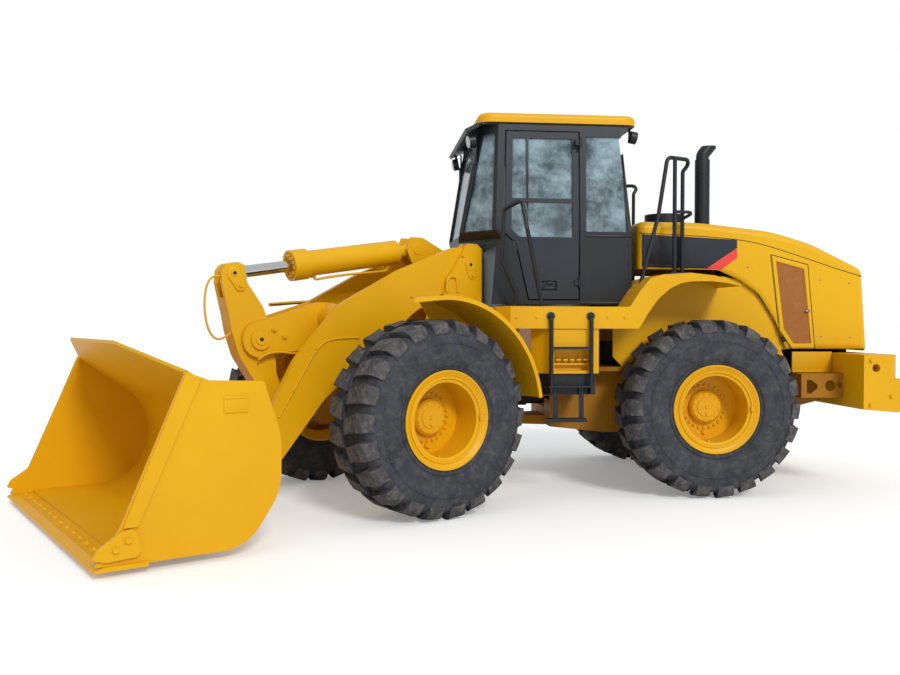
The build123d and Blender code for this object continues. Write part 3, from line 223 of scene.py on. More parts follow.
finishOf = {
    "sprayedYellow": "counterweight rear_fenders service_boxes cab_roof front_frame front_fenders lift_arms "
                     "bellcrank bell_pin link_pin bucket_link bucket ground_tools tilt_barrel lift_barrels".split(),
    "hoodYellow": ["hood"],
    "shadedYellow": "rear_frame rear_axle front_axle steer_barrel_left steer_barrel_right".split(),
    "rimYellow": ["rim_%s_%s" % (h, s) for h in ("front", "rear") for s in ("left", "right")],
    "satinBlack": "ladders_and_rails cab_frame stacks lamps hood_grilles".split(),
    "cabSheet": ["cab_door"],
    "castGrey": ["powertrain"],
    "tyreRubber": ["tyre_%s_%s" % (h, s) for h in ("front", "rear") for s in ("left", "right")],
    "chromedRod": "tilt_rod lift_rods steer_rod_left steer_rod_right".split(),
    "groundSteel": "frame_pins bucket_pins".split(),
    "cabGlass": ["cab_glass", "door_glass"],
    "cabTrim": ["cab_interior"],
}
for finish, members in finishOf.items():
    for member in members:
        slots = frame["nodes"][member].data.materials
        slots.clear()
        slots.append(finishes[finish])
print("materials made:", len(finishes))

# ---- camera, floor and light ----
view = {"place": (1529.1, 9044.3, 1590.0), "yaw": 5.996, "pitch": 1.089, "roll": -0.115, "lens": 35.94}
light = {"sky": 0.74, "floorGlow": 0.22, "sun": 1.7, "sunSpread": 14.0, "sunTurn": (-55.0, 14.0, 26.0)}


def makeCamera():
    camera = bpy.data.objects.new("camera", bpy.data.cameras.new("camera"))
    bpy.context.scene.collection.objects.link(camera)
    yaw, pitch = math.radians(view["yaw"]), math.radians(view["pitch"])
    ahead = Vector((-math.sin(yaw) * math.cos(pitch), -math.cos(yaw) * math.cos(pitch), -math.sin(pitch)))
    camera.location = rearPlace() @ Vector(view["place"])
    camera.rotation_mode = "QUATERNION"
    camera.rotation_quaternion = ahead.to_track_quat("-Z", "Y") @ Matrix.Rotation(
        math.radians(-view["roll"]), 3, "Z").to_quaternion()
    camera.data.lens = view["lens"]
    camera.data.sensor_width = 36.0
    camera.data.clip_end = 200.0
    bpy.context.scene.camera = camera


def makeFloor():
    bm = bmesh.new()
    bmesh.ops.create_grid(bm, x_segments=1, y_segments=1, size=60.0)
    mesh = bpy.data.meshes.new("floor")
    bm.to_mesh(mesh)
    bm.free()
    floor = bpy.data.objects.new("floor", mesh)
    bpy.context.scene.collection.objects.link(floor)
    material, tree, shader, place = startMaterial("paleFloor", {"Base Color": linear("#f4f4f2"), "Roughness": 0.9})
    seen = addNode(tree, "ShaderNodeLightPath").outputs["Is Camera Ray"]
    glow = addNode(tree, "ShaderNodeMath", {"operation": "MULTIPLY"}, {0: seen, 1: light["floorGlow"]})  # to white
    shader.inputs["Emission Color"].default_value = (1, 1, 1, 1)
    tree.links.new(glow.outputs[0], shader.inputs["Emission Strength"])
    mesh.materials.append(material)


def makeLight():
    world = bpy.data.worlds.new("studio")
    bpy.context.scene.world = world
    world.use_nodes = True
    tree = world.node_tree
    tree.nodes.clear()
    path = addNode(tree, "ShaderNodeLightPath")
    seen = addNode(tree, "ShaderNodeMath", {"operation": "MAXIMUM"}, {0: path.outputs["Is Camera Ray"],
                                                                      1: path.outputs["Is Transmission Ray"]})
    soft = addNode(tree, "ShaderNodeBackground", None, {"Color": linear("#f1f5fa"), "Strength": light["sky"]})
    white = addNode(tree, "ShaderNodeBackground", None, {"Color": (1, 1, 1, 1), "Strength": 1.0})
    mix = addNode(tree, "ShaderNodeMixShader", None, {0: seen.outputs[0], 1: soft.outputs[0], 2: white.outputs[0]})
    addNode(tree, "ShaderNodeOutputWorld", None, {0: mix.outputs[0]})
    sun = bpy.data.objects.new("sun", bpy.data.lights.new("sun", "SUN"))
    sun.data.energy = light["sun"]
    sun.data.angle = math.radians(light["sunSpread"])
    sun.rotation_euler = [math.radians(a) for a in light["sunTurn"]]
    bpy.context.scene.collection.objects.link(sun)


makeCamera()
makeFloor()
makeLight()
print("camera, floor and light made")


# ---- how a piece is made ----
def paint(verts, coat):
    for face in {f for v in verts for f in v.link_faces}:
        face.material_index = coat


def addRound(bm, at, along, low, high, height, sides=20, coat=0):
    # a round or many-sided boss that stands on a point
    along = Vector(along).normalized()
    place = Matrix.Translation(Vector(at) + along * (height / 2)) @ along.to_track_quat("Z", "Y").to_matrix().to_4x4()
    made = bmesh.ops.create_cone(bm, cap_ends=True, segments=sides, radius1=low, radius2=high, depth=height,
                                 matrix=place)["verts"]
    paint(made, coat)
    return made


def addBolt(bm, at, along, size, coat=0):
    # a hexagon head on its washer
    along = Vector(along).normalized()
    addRound(bm, at, along, size * 1.3, size * 1.3, size * 0.25, 12, coat)
    addRound(bm, Vector(at) + along * size * 0.2, along, size, size * 0.9, size * 0.75, 6, coat)


def soften(bm, edges, width, segments=2):
    bmesh.ops.bevel(bm, geom=edges, offset=width, affect="EDGES", segments=segments, profile=0.5, material=-1)


def addBox(bm, low, high, edge=4.0, coat=0):
    made = bmesh.ops.create_cube(bm, size=1.0)["verts"]
    bmesh.ops.scale(bm, verts=made, vec=Vector(high) - Vector(low))
    bmesh.ops.translate(bm, verts=made, vec=(Vector(low) + Vector(high)) / 2)
    paint(made, coat)
    if edge:
        soften(bm, list({e for v in made for e in v.link_edges}), edge)


def addSideBox(bm, side, low, high, edge=4.0):
    # a box given by its place on the left, put on either side
    near, far = sorted((side * low[1], side * high[1]))
    addBox(bm, (low[0], near, low[2]), (high[0], far, high[2]), edge)


def addSidePlate(bm, side, outline, low, high, edge=0.0):
    # a plate cut to a side-view outline, from low to high across the machine on either side
    low, high = sorted((side * low, side * high))
    face = bm.faces.new([bm.verts.new((x, low, z)) for x, z in outline])
    grown = bmesh.ops.extrude_face_region(bm, geom=[face])["geom"]
    far = [g for g in grown if isinstance(g, bmesh.types.BMVert)]
    bmesh.ops.translate(bm, verts=far, vec=(0, high - low, 0))
    if edge:
        soften(bm, [g for g in grown if isinstance(g, bmesh.types.BMEdge)], edge)


def finishPiece(name, bm, coats, body, place, standsFor=(), sharp=32):
    bmesh.ops.remove_doubles(bm, verts=bm.verts, dist=0.01)
    bmesh.ops.recalc_face_normals(bm, faces=bm.faces)
    bmesh.ops.transform(bm, matrix=place, verts=bm.verts)
    mesh = bpy.data.meshes.new(name)
    bm.to_mesh(mesh)
    bm.free()
    for coat in coats:
        mesh.materials.append(finishes[coat])
    mesh.shade_smooth()
    mesh.set_sharp_from_angle(angle=math.radians(sharp))
    piece = bpy.data.objects.new(name, mesh)
    bpy.context.scene.collection.objects.link(piece)
    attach(piece, body)
    if standsFor:
        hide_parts(*standsFor)
    return piece


def makePipe(name, points, radius, coat, body, place):
    # a bent steel tube
    curve = bpy.data.curves.new(name, "CURVE")
    curve.dimensions = "3D"
    curve.bevel_depth = radius / 1000
    curve.bevel_resolution = 3
    curve.use_fill_caps = True
    spline = curve.splines.new("NURBS")
    spline.points.add(len(points) - 1)
    for point, at in zip(spline.points, points):
        point.co = (place @ Vector(at)).to_4d()
    spline.order_u = 3
    spline.use_endpoint_u = True
    spline.resolution_u = 6
    curve.materials.append(finishes[coat])
    pipe = bpy.data.objects.new(name, curve)
    bpy.context.scene.collection.objects.link(pipe)
    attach(pipe, body)


bothSides = ((1, "left"), (-1, "right"))


# ---- tyres ----
tyre = {
    "lugs": 22,             # on each shoulder
    "lean": 1.6,            # degrees that a lug leans at the shoulder, and back at the crown
    "lugHalf": 5.3,         # half a lug's width in degrees
    "crownWidth": 0.8,      # its width at the crown over that at the shoulder
    "footWidth": 1.13,
    "edge": 7.0,
    # distance from the middle plane and radius, along a lug's top and along its foot inside the carcass
    "lugTop": [(22, 800), (90, 800), (155, 799), (208, 797), (245, 789), (270, 772), (287, 746), (296, 716),
               (297, 690)],
    "lugFoot": [(22, 745), (90, 745), (155, 744), (205, 740), (228, 731), (246, 716), (262, 702), (274, 690),
                (280, 676)],
    "half": [(0, 756), (110, 756), (200, 752), (250, 738), (276, 716), (287, 688), (289, 660), (294, 632),
             (299, 600), (300, 560), (296, 510), (287, 466), (275, 428), (262, 406), (254, 398), (247, 384),
             (238, 352), (231, 332)],
    # moulded ribs round the sidewall
    "ribs": [[(299, 619), (304, 612), (298, 605), (270, 612)], [(284, 443), (290, 436), (276, 429), (270, 436)]],
    "steps": 72,
}


def addTurned(bm, profile):
    # a closed profile turned about the axle
    verts = [bm.verts.new((0, y, -r)) for y, r in profile]
    edges = [bm.edges.new(pair) for pair in zip(verts, verts[1:] + verts[:1])]
    bmesh.ops.spin(bm, geom=verts + edges, cent=(0, 0, 0), axis=(0, 1, 0), angle=math.tau, steps=tyre["steps"],
                   use_merge=True)


def addCarcass(bm):
    addTurned(bm, tyre["half"] + [(-y, r) for y, r in tyre["half"][::-1][:-1]])
    for rib in tyre["ribs"]:
        for side, word in bothSides:
            addTurned(bm, [(side * y, r) for y, r in rib])


def addLug(bm, centre, side):
    # one bar from the crown over the shoulder, bent like a wide V with its neighbour
    count = len(tyre["lugTop"]) - 1
    made = bmesh.ops.create_grid(bm, x_segments=count, y_segments=2, size=1.0)["verts"]
    spot = {v: (round((v.co.x + 1) / 2 * count), v.co.y) for v in made}

    def shape(vert, station, across, line, wide):
        y, r = tyre[line][station]
        bend = min(1.0, max(0.0, (y - 22) / 190))  # from the crown to the shoulder
        lean = tyre["lean"] * (2 * bend - 1)
        narrow = tyre["crownWidth"] + (1 - tyre["crownWidth"]) * bend
        angle = math.radians(centre + lean + across * tyre["lugHalf"] * wide * narrow)
        vert.co = (r * math.sin(angle), side * y, -r * math.cos(angle))

    foot = list({f for v in made for f in v.link_faces})
    tops = bmesh.ops.extrude_face_region(bm, geom=foot)["geom"]
    lifted = [g for g in tops if isinstance(g, bmesh.types.BMVert)]
    where = {vert: spot[min(made, key=lambda m: (m.co - vert.co).length)] for vert in lifted}
    for vert, (station, across) in spot.items():
        shape(vert, station, across, "lugFoot", tyre["footWidth"])
    for vert, (station, across) in where.items():
        shape(vert, station, across, "lugTop", 1.0)
    topFaces = {g for g in tops if isinstance(g, bmesh.types.BMFace)}
    for face in topFaces:
        face.material_index = 1
    rim = [e for e in {e for f in topFaces for e in f.edges} if any(f not in topFaces for f in e.link_faces)]
    soften(bm, rim, tyre["edge"], 1)


def standWheel(bm, x, side):
    bmesh.ops.scale(bm, verts=bm.verts, vec=(1, side, 1))
    bmesh.ops.translate(bm, verts=bm.verts, vec=(x, side * machine["wheelY"], machine["wheelRadius"]))


def makeTyre(name, body, place, x, side):
    bm = bmesh.new()
    addCarcass(bm)
    step = 180.0 / tyre["lugs"]
    for k in range(tyre["lugs"]):
        addLug(bm, (2 * k + 1) * step, 1)
        addLug(bm, 2 * k * step, -1)
    standWheel(bm, x, side)
    finishPiece(name + "Tread", bm, ["tyreRubber", "lugRubber"], body, place, [name], 38)


# ---- rims: what is bolted to them ----
hub = {
    "disc": -31.0, "cap": 31.0,             # faces, measured outwards from the wheel's middle plane
    "bolts": 24, "circle": 196.0, "bolt": 15.0, "boltHeight": 14.0, "domeHeight": 9.0,
    "capBolts": 12, "capCircle": 118.0, "capBolt": 8.0,
    # bosses: height up the face, foot's and top's radius, height, number of sides
    "capBosses": [(-1, 0, 92, 88, 8, 36), (6, 0, 17, 15, 9, 8), (-1, -62, 15, 13, 17, 6)],
    "plug": (-232.0, 26.0, 22.0, 22.0),
    "lockDriver": ((-346, 262, -24), (-318, 274, 24)),
    "valve": ((60, 180, -292), (0, 1, 0.1), 9.0, 7.0, 60.0),
}


def addRing(bm, centre, axis, radius, section, steps):
    # a round bar bent into a ring about the axis
    half = [(section * math.cos(a), section * math.sin(a)) for a in (math.tau * k / 10 for k in range(10))]
    loop = [bm.verts.new((radius + x, 0, z)) for x, z in half]
    sides = [bm.edges.new(pair) for pair in zip(loop, loop[1:] + loop[:1])]
    bmesh.ops.spin(bm, geom=loop + sides, cent=centre, axis=axis, angle=math.tau, steps=steps, use_merge=True)


def makeHubBolts(name, body, place, x, side):
    bm = bmesh.new()
    outwards = (0, 1, 0)
    for k in range(hub["bolts"]):
        a = math.tau * k / hub["bolts"]
        across, up, size = hub["circle"] * math.sin(a), hub["circle"] * math.cos(a), hub["bolt"]
        foot = hub["disc"] - 1
        addRound(bm, (across, foot, up), outwards, size, size, hub["boltHeight"], 10)
        addRound(bm, (across, foot + hub["boltHeight"] - 1, up), outwards, size * 0.8, size * 0.45,
                 hub["domeHeight"], 8)
    for k in range(hub["capBolts"]):
        a = math.tau * (k + 0.5) / hub["capBolts"]
        at = (hub["capCircle"] * math.sin(a), hub["cap"] - 1, hub["capCircle"] * math.cos(a))
        addBolt(bm, at, outwards, hub["capBolt"])
    for rise, z, low, high, height, sides in hub["capBosses"]:
        addRound(bm, (0, hub["cap"] + rise, z), outwards, low, high, height, sides)
    z, low, high, height = hub["plug"]
    addRound(bm, (0, hub["disc"] - 1, z), outwards, low, high, height, 16)
    addBox(bm, *hub["lockDriver"], 3)
    at, along, low, high, height = hub["valve"]
    addRound(bm, at, along, low, high, height, 10)
    standWheel(bm, x, side)
    finishPiece(name, bm, ["rimYellow"], body, place, (), 40)


def makeWheels():
    for half, place, x in (("rear", rearPlace(), -machine["axleX"]), ("front", frontPlace(), machine["axleX"])):
        for side, word in bothSides:
            body = "wheel_%s_%s" % (half, word)
            makeTyre("tyre_%s_%s" % (half, word), body, place, x, side)
            makeHubBolts("hubBolts_%s_%s" % (half, word), body, place, x, side)
    print("wheels made")


# ---- hood ----
hood = {
    "half": 700.0,          # its sides' distance from the middle
    "panel": [(-1166, 2418), (-2128, 2372), (-2129, 2294), (-1801, 2076), (-1168, 2076)],
    "stripe": [(-2129, 2292), (-2130, 2198), (-1962, 2076), (-1804, 2076)],
    "proud": 1.5,
    "seam": [(-1160, 2428), (-1675, 2410), (-2130, 2378), (-2370, 2336), (-2612, 2268), (-2923, 2172),
             (-3146, 2100), (-3400, 2030)],
    "seamRadius": 4.0,
    "doorOuter": [(-2478, 2222), (-2838, 2130), (-2917, 1330), (-2685, 1330), (-2566, 1500)],
    "doorInner": [(-2520, 2170), (-2805, 2096), (-2884, 1372), (-2706, 1372), (-2604, 1516)],
    "doorHeight": 9.0, "doorSoften": 3.5,
    # a point given twice makes a corner
    "doorSeam": [(-2690, 1318), (-2560, 1492), (-2516, 1860), (-2468, 2234), (-2468, 2234), (-2848, 2140),
                 (-2848, 2140), (-2888, 1720), (-2928, 1318)],
    "latch": (-2850, 1690),
    "fasteners": [(-2973, 1990), (-3270, 1960), (-2990, 1440), (-3290, 1430), (-2240, 2110), (-1500, 2450)],
    # plates on the frame below and behind it: outline or corners, and how far they lie from the middle
    "sill": ([(-2700, 1292), (-3104, 1292), (-3104, 1100), (-2700, 1100)], 674, 694),
    "sillLip": ((-3104, 640, 1092), (-2700, 704, 1104)),
    "liner": ([(-1990, 2026), (-2170, 1992), (-2350, 1868), (-2520, 1620), (-2650, 1312), (-2570, 1312),
               (-2470, 1560), (-2310, 1790), (-2140, 1920)], 636, 648),
}


def makeHoodPatch(name, outline, coat, side):
    # a painted panel laid on a copy of the hood's own sheet
    bm = bmesh.new()
    bm.from_mesh(frame["nodes"]["hood"].data)
    bmesh.ops.transform(bm, matrix=rearPlace().inverted(), verts=bm.verts)
    bmesh.ops.remove_doubles(bm, verts=bm.verts, dist=0.01)
    middle = [sum(c) / len(outline) for c in zip(*outline)]
    for (x0, z0), (x1, z1) in zip(outline, outline[1:] + outline[:1]):
        normal = Vector((z1 - z0, 0, x0 - x1)).normalized()
        if normal.dot(Vector((middle[0] - x0, 0, middle[1] - z0))) > 0:
            normal = -normal
        bmesh.ops.bisect_plane(bm, geom=bm.verts[:] + bm.edges[:] + bm.faces[:], plane_co=(x0, 0, z0),
                               plane_no=normal, clear_outer=True)
    hidden = [f for f in bm.faces if f.normal.y * side < 0.3 or f.calc_center_median().y * side < hood["half"] - 8]
    bmesh.ops.delete(bm, geom=hidden, context="FACES")
    grown = bmesh.ops.extrude_face_region(bm, geom=bm.faces[:])["geom"]
    far = [g for g in grown if isinstance(g, bmesh.types.BMVert)]
    bmesh.ops.translate(bm, verts=far, vec=(0, side * hood["proud"], 0))
    near = [v for v in bm.verts if v not in set(far)]
    bmesh.ops.translate(bm, verts=near, vec=(0, side * -1.0, 0))
    finishPiece(name, bm, [coat], "hood", rearPlace())


def makeDoorFrame(name, side):
    # the raised rim round a screen
    face, rise = hood["half"], hood["doorHeight"]
    outer, inner = hood["doorOuter"], hood["doorInner"]
    bm = bmesh.new()
    rings = [[bm.verts.new((x, side * (face + y), z)) for x, z in line]
             for line, y in ((outer, -3), (outer, rise), (inner, rise), (inner, -3))]
    for ring, following in zip(rings, rings[1:] + rings[:1]):
        for i in range(len(ring)):
            j = (i + 1) % len(ring)
            bm.faces.new((ring[i], ring[j], following[j], following[i]))
    soften(bm, [e for e in bm.edges if all(abs(abs(v.co.y) - face - rise) < 1 for v in e.verts)], hood["doorSoften"])
    finishPiece(name, bm, ["hoodYellow"], "hood", rearPlace())


def makeHoodTrim():
    place, face = rearPlace(), hood["half"]
    for side, word in bothSides:
        makeHoodPatch("hoodPanel_" + word, hood["panel"], "panelBlack", side)
        makeHoodPatch("hoodStripe_" + word, hood["stripe"], "stripeRed", side)
        for name, line, sunk in (("hoodSeam_", "seam", 1.5), ("hoodDoorSeam_", "doorSeam", 1.0)):
            makePipe(name + word, [(x, side * (face - sunk), z) for x, z in hood[line]], hood["seamRadius"],
                     "rubberAndHoleShade", "hood", place)
        makeDoorFrame("hoodDoorFrame_" + word, side)
        bm = bmesh.new()
        addSidePlate(bm, side, hood["doorInner"], face - 2, face + 2)
        finishPiece("hoodDoorScreen_" + word, bm, ["screenSheet"], "hood", place)
        bm = bmesh.new()
        x, z = hood["latch"]
        addRound(bm, (x, side * (face + 7), z), (0, side, 0), 20, 17, 8, 20)
        addSideBox(bm, side, (x - 4, face + 12, z - 14), (x + 34, face + 24, z + 8), 3)
        finishPiece("hoodLatch_" + word, bm, ["groundSteel"], "hood", place)
        bm = bmesh.new()
        for x, z in hood["fasteners"]:
            addRound(bm, (x, side * (face - 1), z), (0, side, 0), 9, 7, 4, 12)
        finishPiece("hoodFasteners_" + word, bm, ["groundSteel"], "hood", place)
        bm = bmesh.new()
        addSidePlate(bm, side, *hood["sill"], 2)
        addSideBox(bm, side, *hood["sillLip"], 2)
        addSidePlate(bm, side, *hood["liner"])
        finishPiece("hoodSill_" + word, bm, ["sprayedYellow"], "rear", place)
    print("hood trim made")


# ---- bucket ----
bucket = {
    "half": 1443.0,                         # its cheeks' distance from the middle
    "edgeX": 4262.0, "edgeTop": 75.0, "edgeBolts": 15, "reach": 1340.0, "bolt": 19.0,
    "cutterBolts": [(4190, 226), (4266, 176)], "cutterPlate": 27.0, "cutterBolt": 21.85,
    "plate": ((3392, 972), (3560, 1088)), "plateHeight": 7.0, "barHeight": 12.0,
}


def makeBucketTrim():
    bm = bmesh.new()
    size, top = bucket["bolt"], bucket["edgeTop"]
    for k in range(bucket["edgeBolts"]):
        y = bucket["reach"] * (2 * k / (bucket["edgeBolts"] - 1) - 1)
        addRound(bm, (bucket["edgeX"], y, top - 1), (0, 0, 1), size + 6, size + 4, 5, 14)
        addRound(bm, (bucket["edgeX"], y, top + 3), (0, 0, 1), size, size * 0.8, 13, 6)
    for side, word in bothSides:
        for x, z in bucket["cutterBolts"]:
            addBolt(bm, (x, side * (bucket["half"] + bucket["cutterPlate"]), z), (0, side, 0), bucket["cutterBolt"])
    finishPiece("bucketBolts", bm, ["sprayedYellow"], "bucket", frontPlace(), (), 40)
    bm = bmesh.new()  # bare plates on the cheeks, with a bar along top and bottom
    (x0, z0), (x1, z1) = bucket["plate"]
    for side, word in bothSides:
        low, middle, high = (bucket["half"] + y for y in (-1, bucket["plateHeight"] - 1, bucket["barHeight"]))
        addSideBox(bm, side, (x0, low, z0), (x1, middle + 1, z1), 1.5)
        for z in (z0 + 8, z1 - 20):
            addSideBox(bm, side, (x0 + 8, middle, z), (x1 - 8, high, z + 12), 2)
    finishPiece("bucketPlates", bm, ["sprayedYellow"], "bucket", frontPlace())
    print("bucket trim made")


# ---- linkage ----
pins = {"arm": (780.0, 2108.0), "bell": (2735.0, 1430.0), "rodEye": (2945.0, 1975.0), "tiltBase": (1150.0, 2250.0),
        "bellFoot": (2450.0, 650.0)}
linkage = {
    # flag plates: body, pin, bolt's place, face they lie on, half width, thickness
    "keepers": [("bellcrank", "rodEye", (2893, 1872), 92, 62, 14), ("bellcrank", "bellFoot", (2490, 745), 92, 52, 12),
                ("front", "arm", (752, 2012), 420, 58, 9)],
    "towerFace": 420.0, "towerBolt": (862, 2190, 17),
    "bracketFace": 138.0, "bracketBolts": [(2612, 1512), (2520, 1452)],
    "clipFaces": (389.0, 404.0), "clips": [(2345, 1352), (1960, 1440), (2560, 1010)],
    # bent tubes
    "towerEye": [(925, 424, 1850), (925, 424, 1935), (945, 424, 1985), (985, 424, 1992), (1025, 424, 1985),
                 (1045, 424, 1935), (1045, 424, 1850)],
    "armPipe": [(2690, 396, 800), (2560, 396, 1005), (2400, 396, 1270), (2330, 396, 1365), (2250, 396, 1420),
                (2120, 396, 1440), (1935, 396, 1440)],
    "bellPipe": [(3000, 58, 1930), (3060, 58, 1960), (3140, 58, 1930), (3180, 58, 1820), (3184, 58, 1650),
                 (3150, 58, 1500), (3090, 58, 1430), (3020, 58, 1440), (2950, 58, 1490)],
    "bracketPipe": [(2760, 150, 1260), (2690, 168, 1320), (2560, 172, 1325), (2420, 168, 1300), (2300, 160, 1330)],
}


def addKeeper(bm, pin, bolt, face, side, wide, thick):
    # the flag plate that keeps a pin from turning, its bolt, and the pin's end with its grease hole, the hole drawn
    # as a thin black disc of painted shade
    ends = [Vector((pin[0], 0, pin[1])), Vector((bolt[0], 0, bolt[1]))]
    along = (ends[1] - ends[0]).normalized()
    across = Vector((-along.z, 0, along.x))
    outline = []
    for end, start, radius in ((ends[0], 0.5, wide), (ends[1], -0.5, wide * 0.75)):
        for k in range(7):
            angle = math.pi * (k / 6 + start)
            spot = end + (along * math.cos(angle) + across * math.sin(angle)) * radius
            outline.append((spot.x, spot.z))
    addSidePlate(bm, side, outline, face - 1, face + thick, 3)
    addBolt(bm, (bolt[0], side * (face + thick - 1), bolt[1]), (0, side, 0), wide * 0.26)
    addRound(bm, (pin[0], side * (face + thick - 1), pin[1]), (0, side, 0), wide * 0.55, wide * 0.5, 7, 28)
    # the grease hole: a flat black disc, painted shade where the hole's dark inside would be
    addRound(bm, (pin[0], side * (face + thick + 5.5), pin[1]), (0, side, 0), 16, 16, 1.5, 20, 1)


def reachOf(node, place):
    # how far a node of the CAD reaches to the left
    back = place.inverted()
    return max((back @ v.co).y for v in frame["nodes"][node].data.vertices)


def makeLinkageTrim():
    place = frontPlace()
    pivotFace = reachOf("bell_pin", place) - 1
    built = {body: bmesh.new() for body in ("bellcrank", "front", "arms", "bell_pin")}
    for side, word in bothSides:
        out = (0, side, 0)
        for body, pin, bolt, face, wide, thick in linkage["keepers"]:
            addKeeper(built[body], pins[pin], bolt, face, side, wide, thick)
        x, z, size = linkage["towerBolt"]
        addBolt(built["front"], (x, side * (linkage["towerFace"] - 1), z), out, size)
        pivot = Vector((pins["bell"][0], side * pivotFace, pins["bell"][1]))
        addRound(built["bell_pin"], pivot, out, 52, 48, 9, 36)
        # the hole in the pivot's cap: a flat black disc, painted shade
        addRound(built["bell_pin"], pivot + Vector((0, side * 8, 0)), out, 17, 17, 2, 20, 1)
        for x, z in linkage["bracketBolts"]:
            addRound(built["arms"], (x, side * (linkage["bracketFace"] - 1), z), out, 27, 25, 14, 20)
            addBolt(built["arms"], (x, side * (linkage["bracketFace"] + 12), z), out, 16)
        low, high = linkage["clipFaces"]
        for x, z in linkage["clips"]:
            addSideBox(built["arms"], side, (x - 12, low, z - 10), (x + 12, high, z + 10), 3)
    for name, body in (("bellKeepers", "bellcrank"), ("towerKeepers", "front"), ("armKeepers", "arms"),
                       ("pivotCaps", "bell_pin")):
        finishPiece(name, built[body], ["sprayedYellow", "rubberAndHoleShade"], body, place)
    for side, word in bothSides:
        for name, radius, body in (("towerEye", 13, "front"), ("armPipe", 7, "arms")):
            makePipe(name + "_" + word, [(x, side * y, z) for x, y, z in linkage[name]], radius, "sprayedYellow",
                     body, place)
    makePipe("bellPipe", linkage["bellPipe"], 9, "sprayedYellow", "bellcrank", place)
    makePipe("bracketPipe", linkage["bracketPipe"], 9, "sprayedYellow", "arms", place)
    print("linkage trim made")


tilt = {
    "glandEnd": 1270.0, "glandBolts": 12, "glandCircle": 92.0, "glandBolt": 11.0,
    "ports": [300.0, 1060.0], "portDepth": 96.0,
    # the pipe between the ports: distance from the foot's pin, drop below the axis, distance to the left
    "pipe": [(300, 118, 0), (300, 150, 10), (360, 158, 40), (700, 140, 52), (1000, 140, 52), (1060, 150, 20),
             (1060, 118, 0)],
    "pipeRadius": 11.0,
}


def makeTiltTrim():
    place = frontPlace()
    base, eye = (Vector((pins[end][0], 0, pins[end][1])) for end in ("tiltBase", "rodEye"))
    along = (eye - base).normalized()
    up = Vector((-along.z, 0, along.x))
    bm = bmesh.new()
    for k in range(tilt["glandBolts"]):
        angle = math.tau * (k + 0.5) / tilt["glandBolts"]
        out = up * math.cos(angle) + Vector((0, 1, 0)) * math.sin(angle)
        addBolt(bm, base + along * (tilt["glandEnd"] - 1) + out * tilt["glandCircle"], along, tilt["glandBolt"])
    for distance in tilt["ports"]:
        addRound(bm, base + along * distance - up * tilt["portDepth"], -up, 26, 24, 34, 16)
    finishPiece("tiltGlandBolts", bm, ["sprayedYellow"], "tilt_barrel", place, (), 40)
    run = [base + along * distance - up * drop + Vector((0, y, 0)) for distance, drop, y in tilt["pipe"]]
    makePipe("tiltPipe", run, tilt["pipeRadius"], "sprayedYellow", "tilt_barrel", place)
    print("tilt cylinder trim made")


# ---- cab ----
seat = {
    # lowest and highest corner, and how far it leans back in degrees
    "seatCushion": ((-700, -250, 2035), (-205, 250, 2160), 0),
    "seatBack": ((-860, -240, 2180), (-720, 240, 2760), 9),
    "seatHead": ((-890, -140, 2790), (-790, 140, 2960), 0),
}


def makeSeat():
    # crowned cushions, their sides drawn in between the corners
    for name, (low, high, lean) in seat.items():
        bm = bmesh.new()
        bmesh.ops.create_cube(bm, size=1.0)
        bmesh.ops.subdivide_edges(bm, edges=bm.edges[:], cuts=5, use_grid_fill=True)
        size, middle = Vector(high) - Vector(low), (Vector(low) + Vector(high)) / 2
        thin = min(range(3), key=lambda i: size[i])
        for vert in bm.verts:
            unit = [2 * c for c in vert.co]
            flat = [unit[i] for i in range(3) if i != thin]
            crown = (1 - flat[0] ** 2) * (1 - flat[1] ** 2)
            vert.co = [c * (1 - 0.05 * (1 - abs(unit[i])) * (1 if i != thin else 0)) for i, c in enumerate(vert.co)]
            vert.co[thin] *= 0.78 + 0.3 * crown
        bmesh.ops.smooth_vert(bm, verts=bm.verts, factor=0.5, use_axis_x=True, use_axis_y=True, use_axis_z=True)
        bmesh.ops.scale(bm, verts=bm.verts, vec=size)
        bmesh.ops.rotate(bm, verts=bm.verts, cent=(0, 0, 0), matrix=Matrix.Rotation(math.radians(-lean), 3, "Y"))
        bmesh.ops.translate(bm, verts=bm.verts, vec=middle)
        standsFor = ["cab_interior"] if name == "seatCushion" else []
        piece = finishPiece(name, bm, ["seatCloth"], "rear", rearPlace(), standsFor)
        subdivision = piece.modifiers.new("round", "SUBSURF")
        subdivision.levels = subdivision.render_levels = 1


controls = {
    # lowest and highest corner and softened edge
    "boxes": [((-620, -180, 1782), (-280, 180, 2036), 18), ((-500, -640, 1782), (-120, -420, 2300), 24),
              ((20, -190, 2330), (110, 190, 2500), 26)],
    "armrests": [((-720, 262, 2270), (-330, 330, 2330), 22), ((-600, 262, 2060), (-540, 330, 2280), 12)],
    "levers": [-420, -340, -260], "leverY": -530.0,
    "column": ((70, 0, 1782), (-0.14, 0, 1), 60.0, 42.0, 700.0),
    "wheelRadius": 178.0, "wheelSection": 15.0, "wheelAt": (-40, 0, 2510), "wheelLean": 19.0,
}


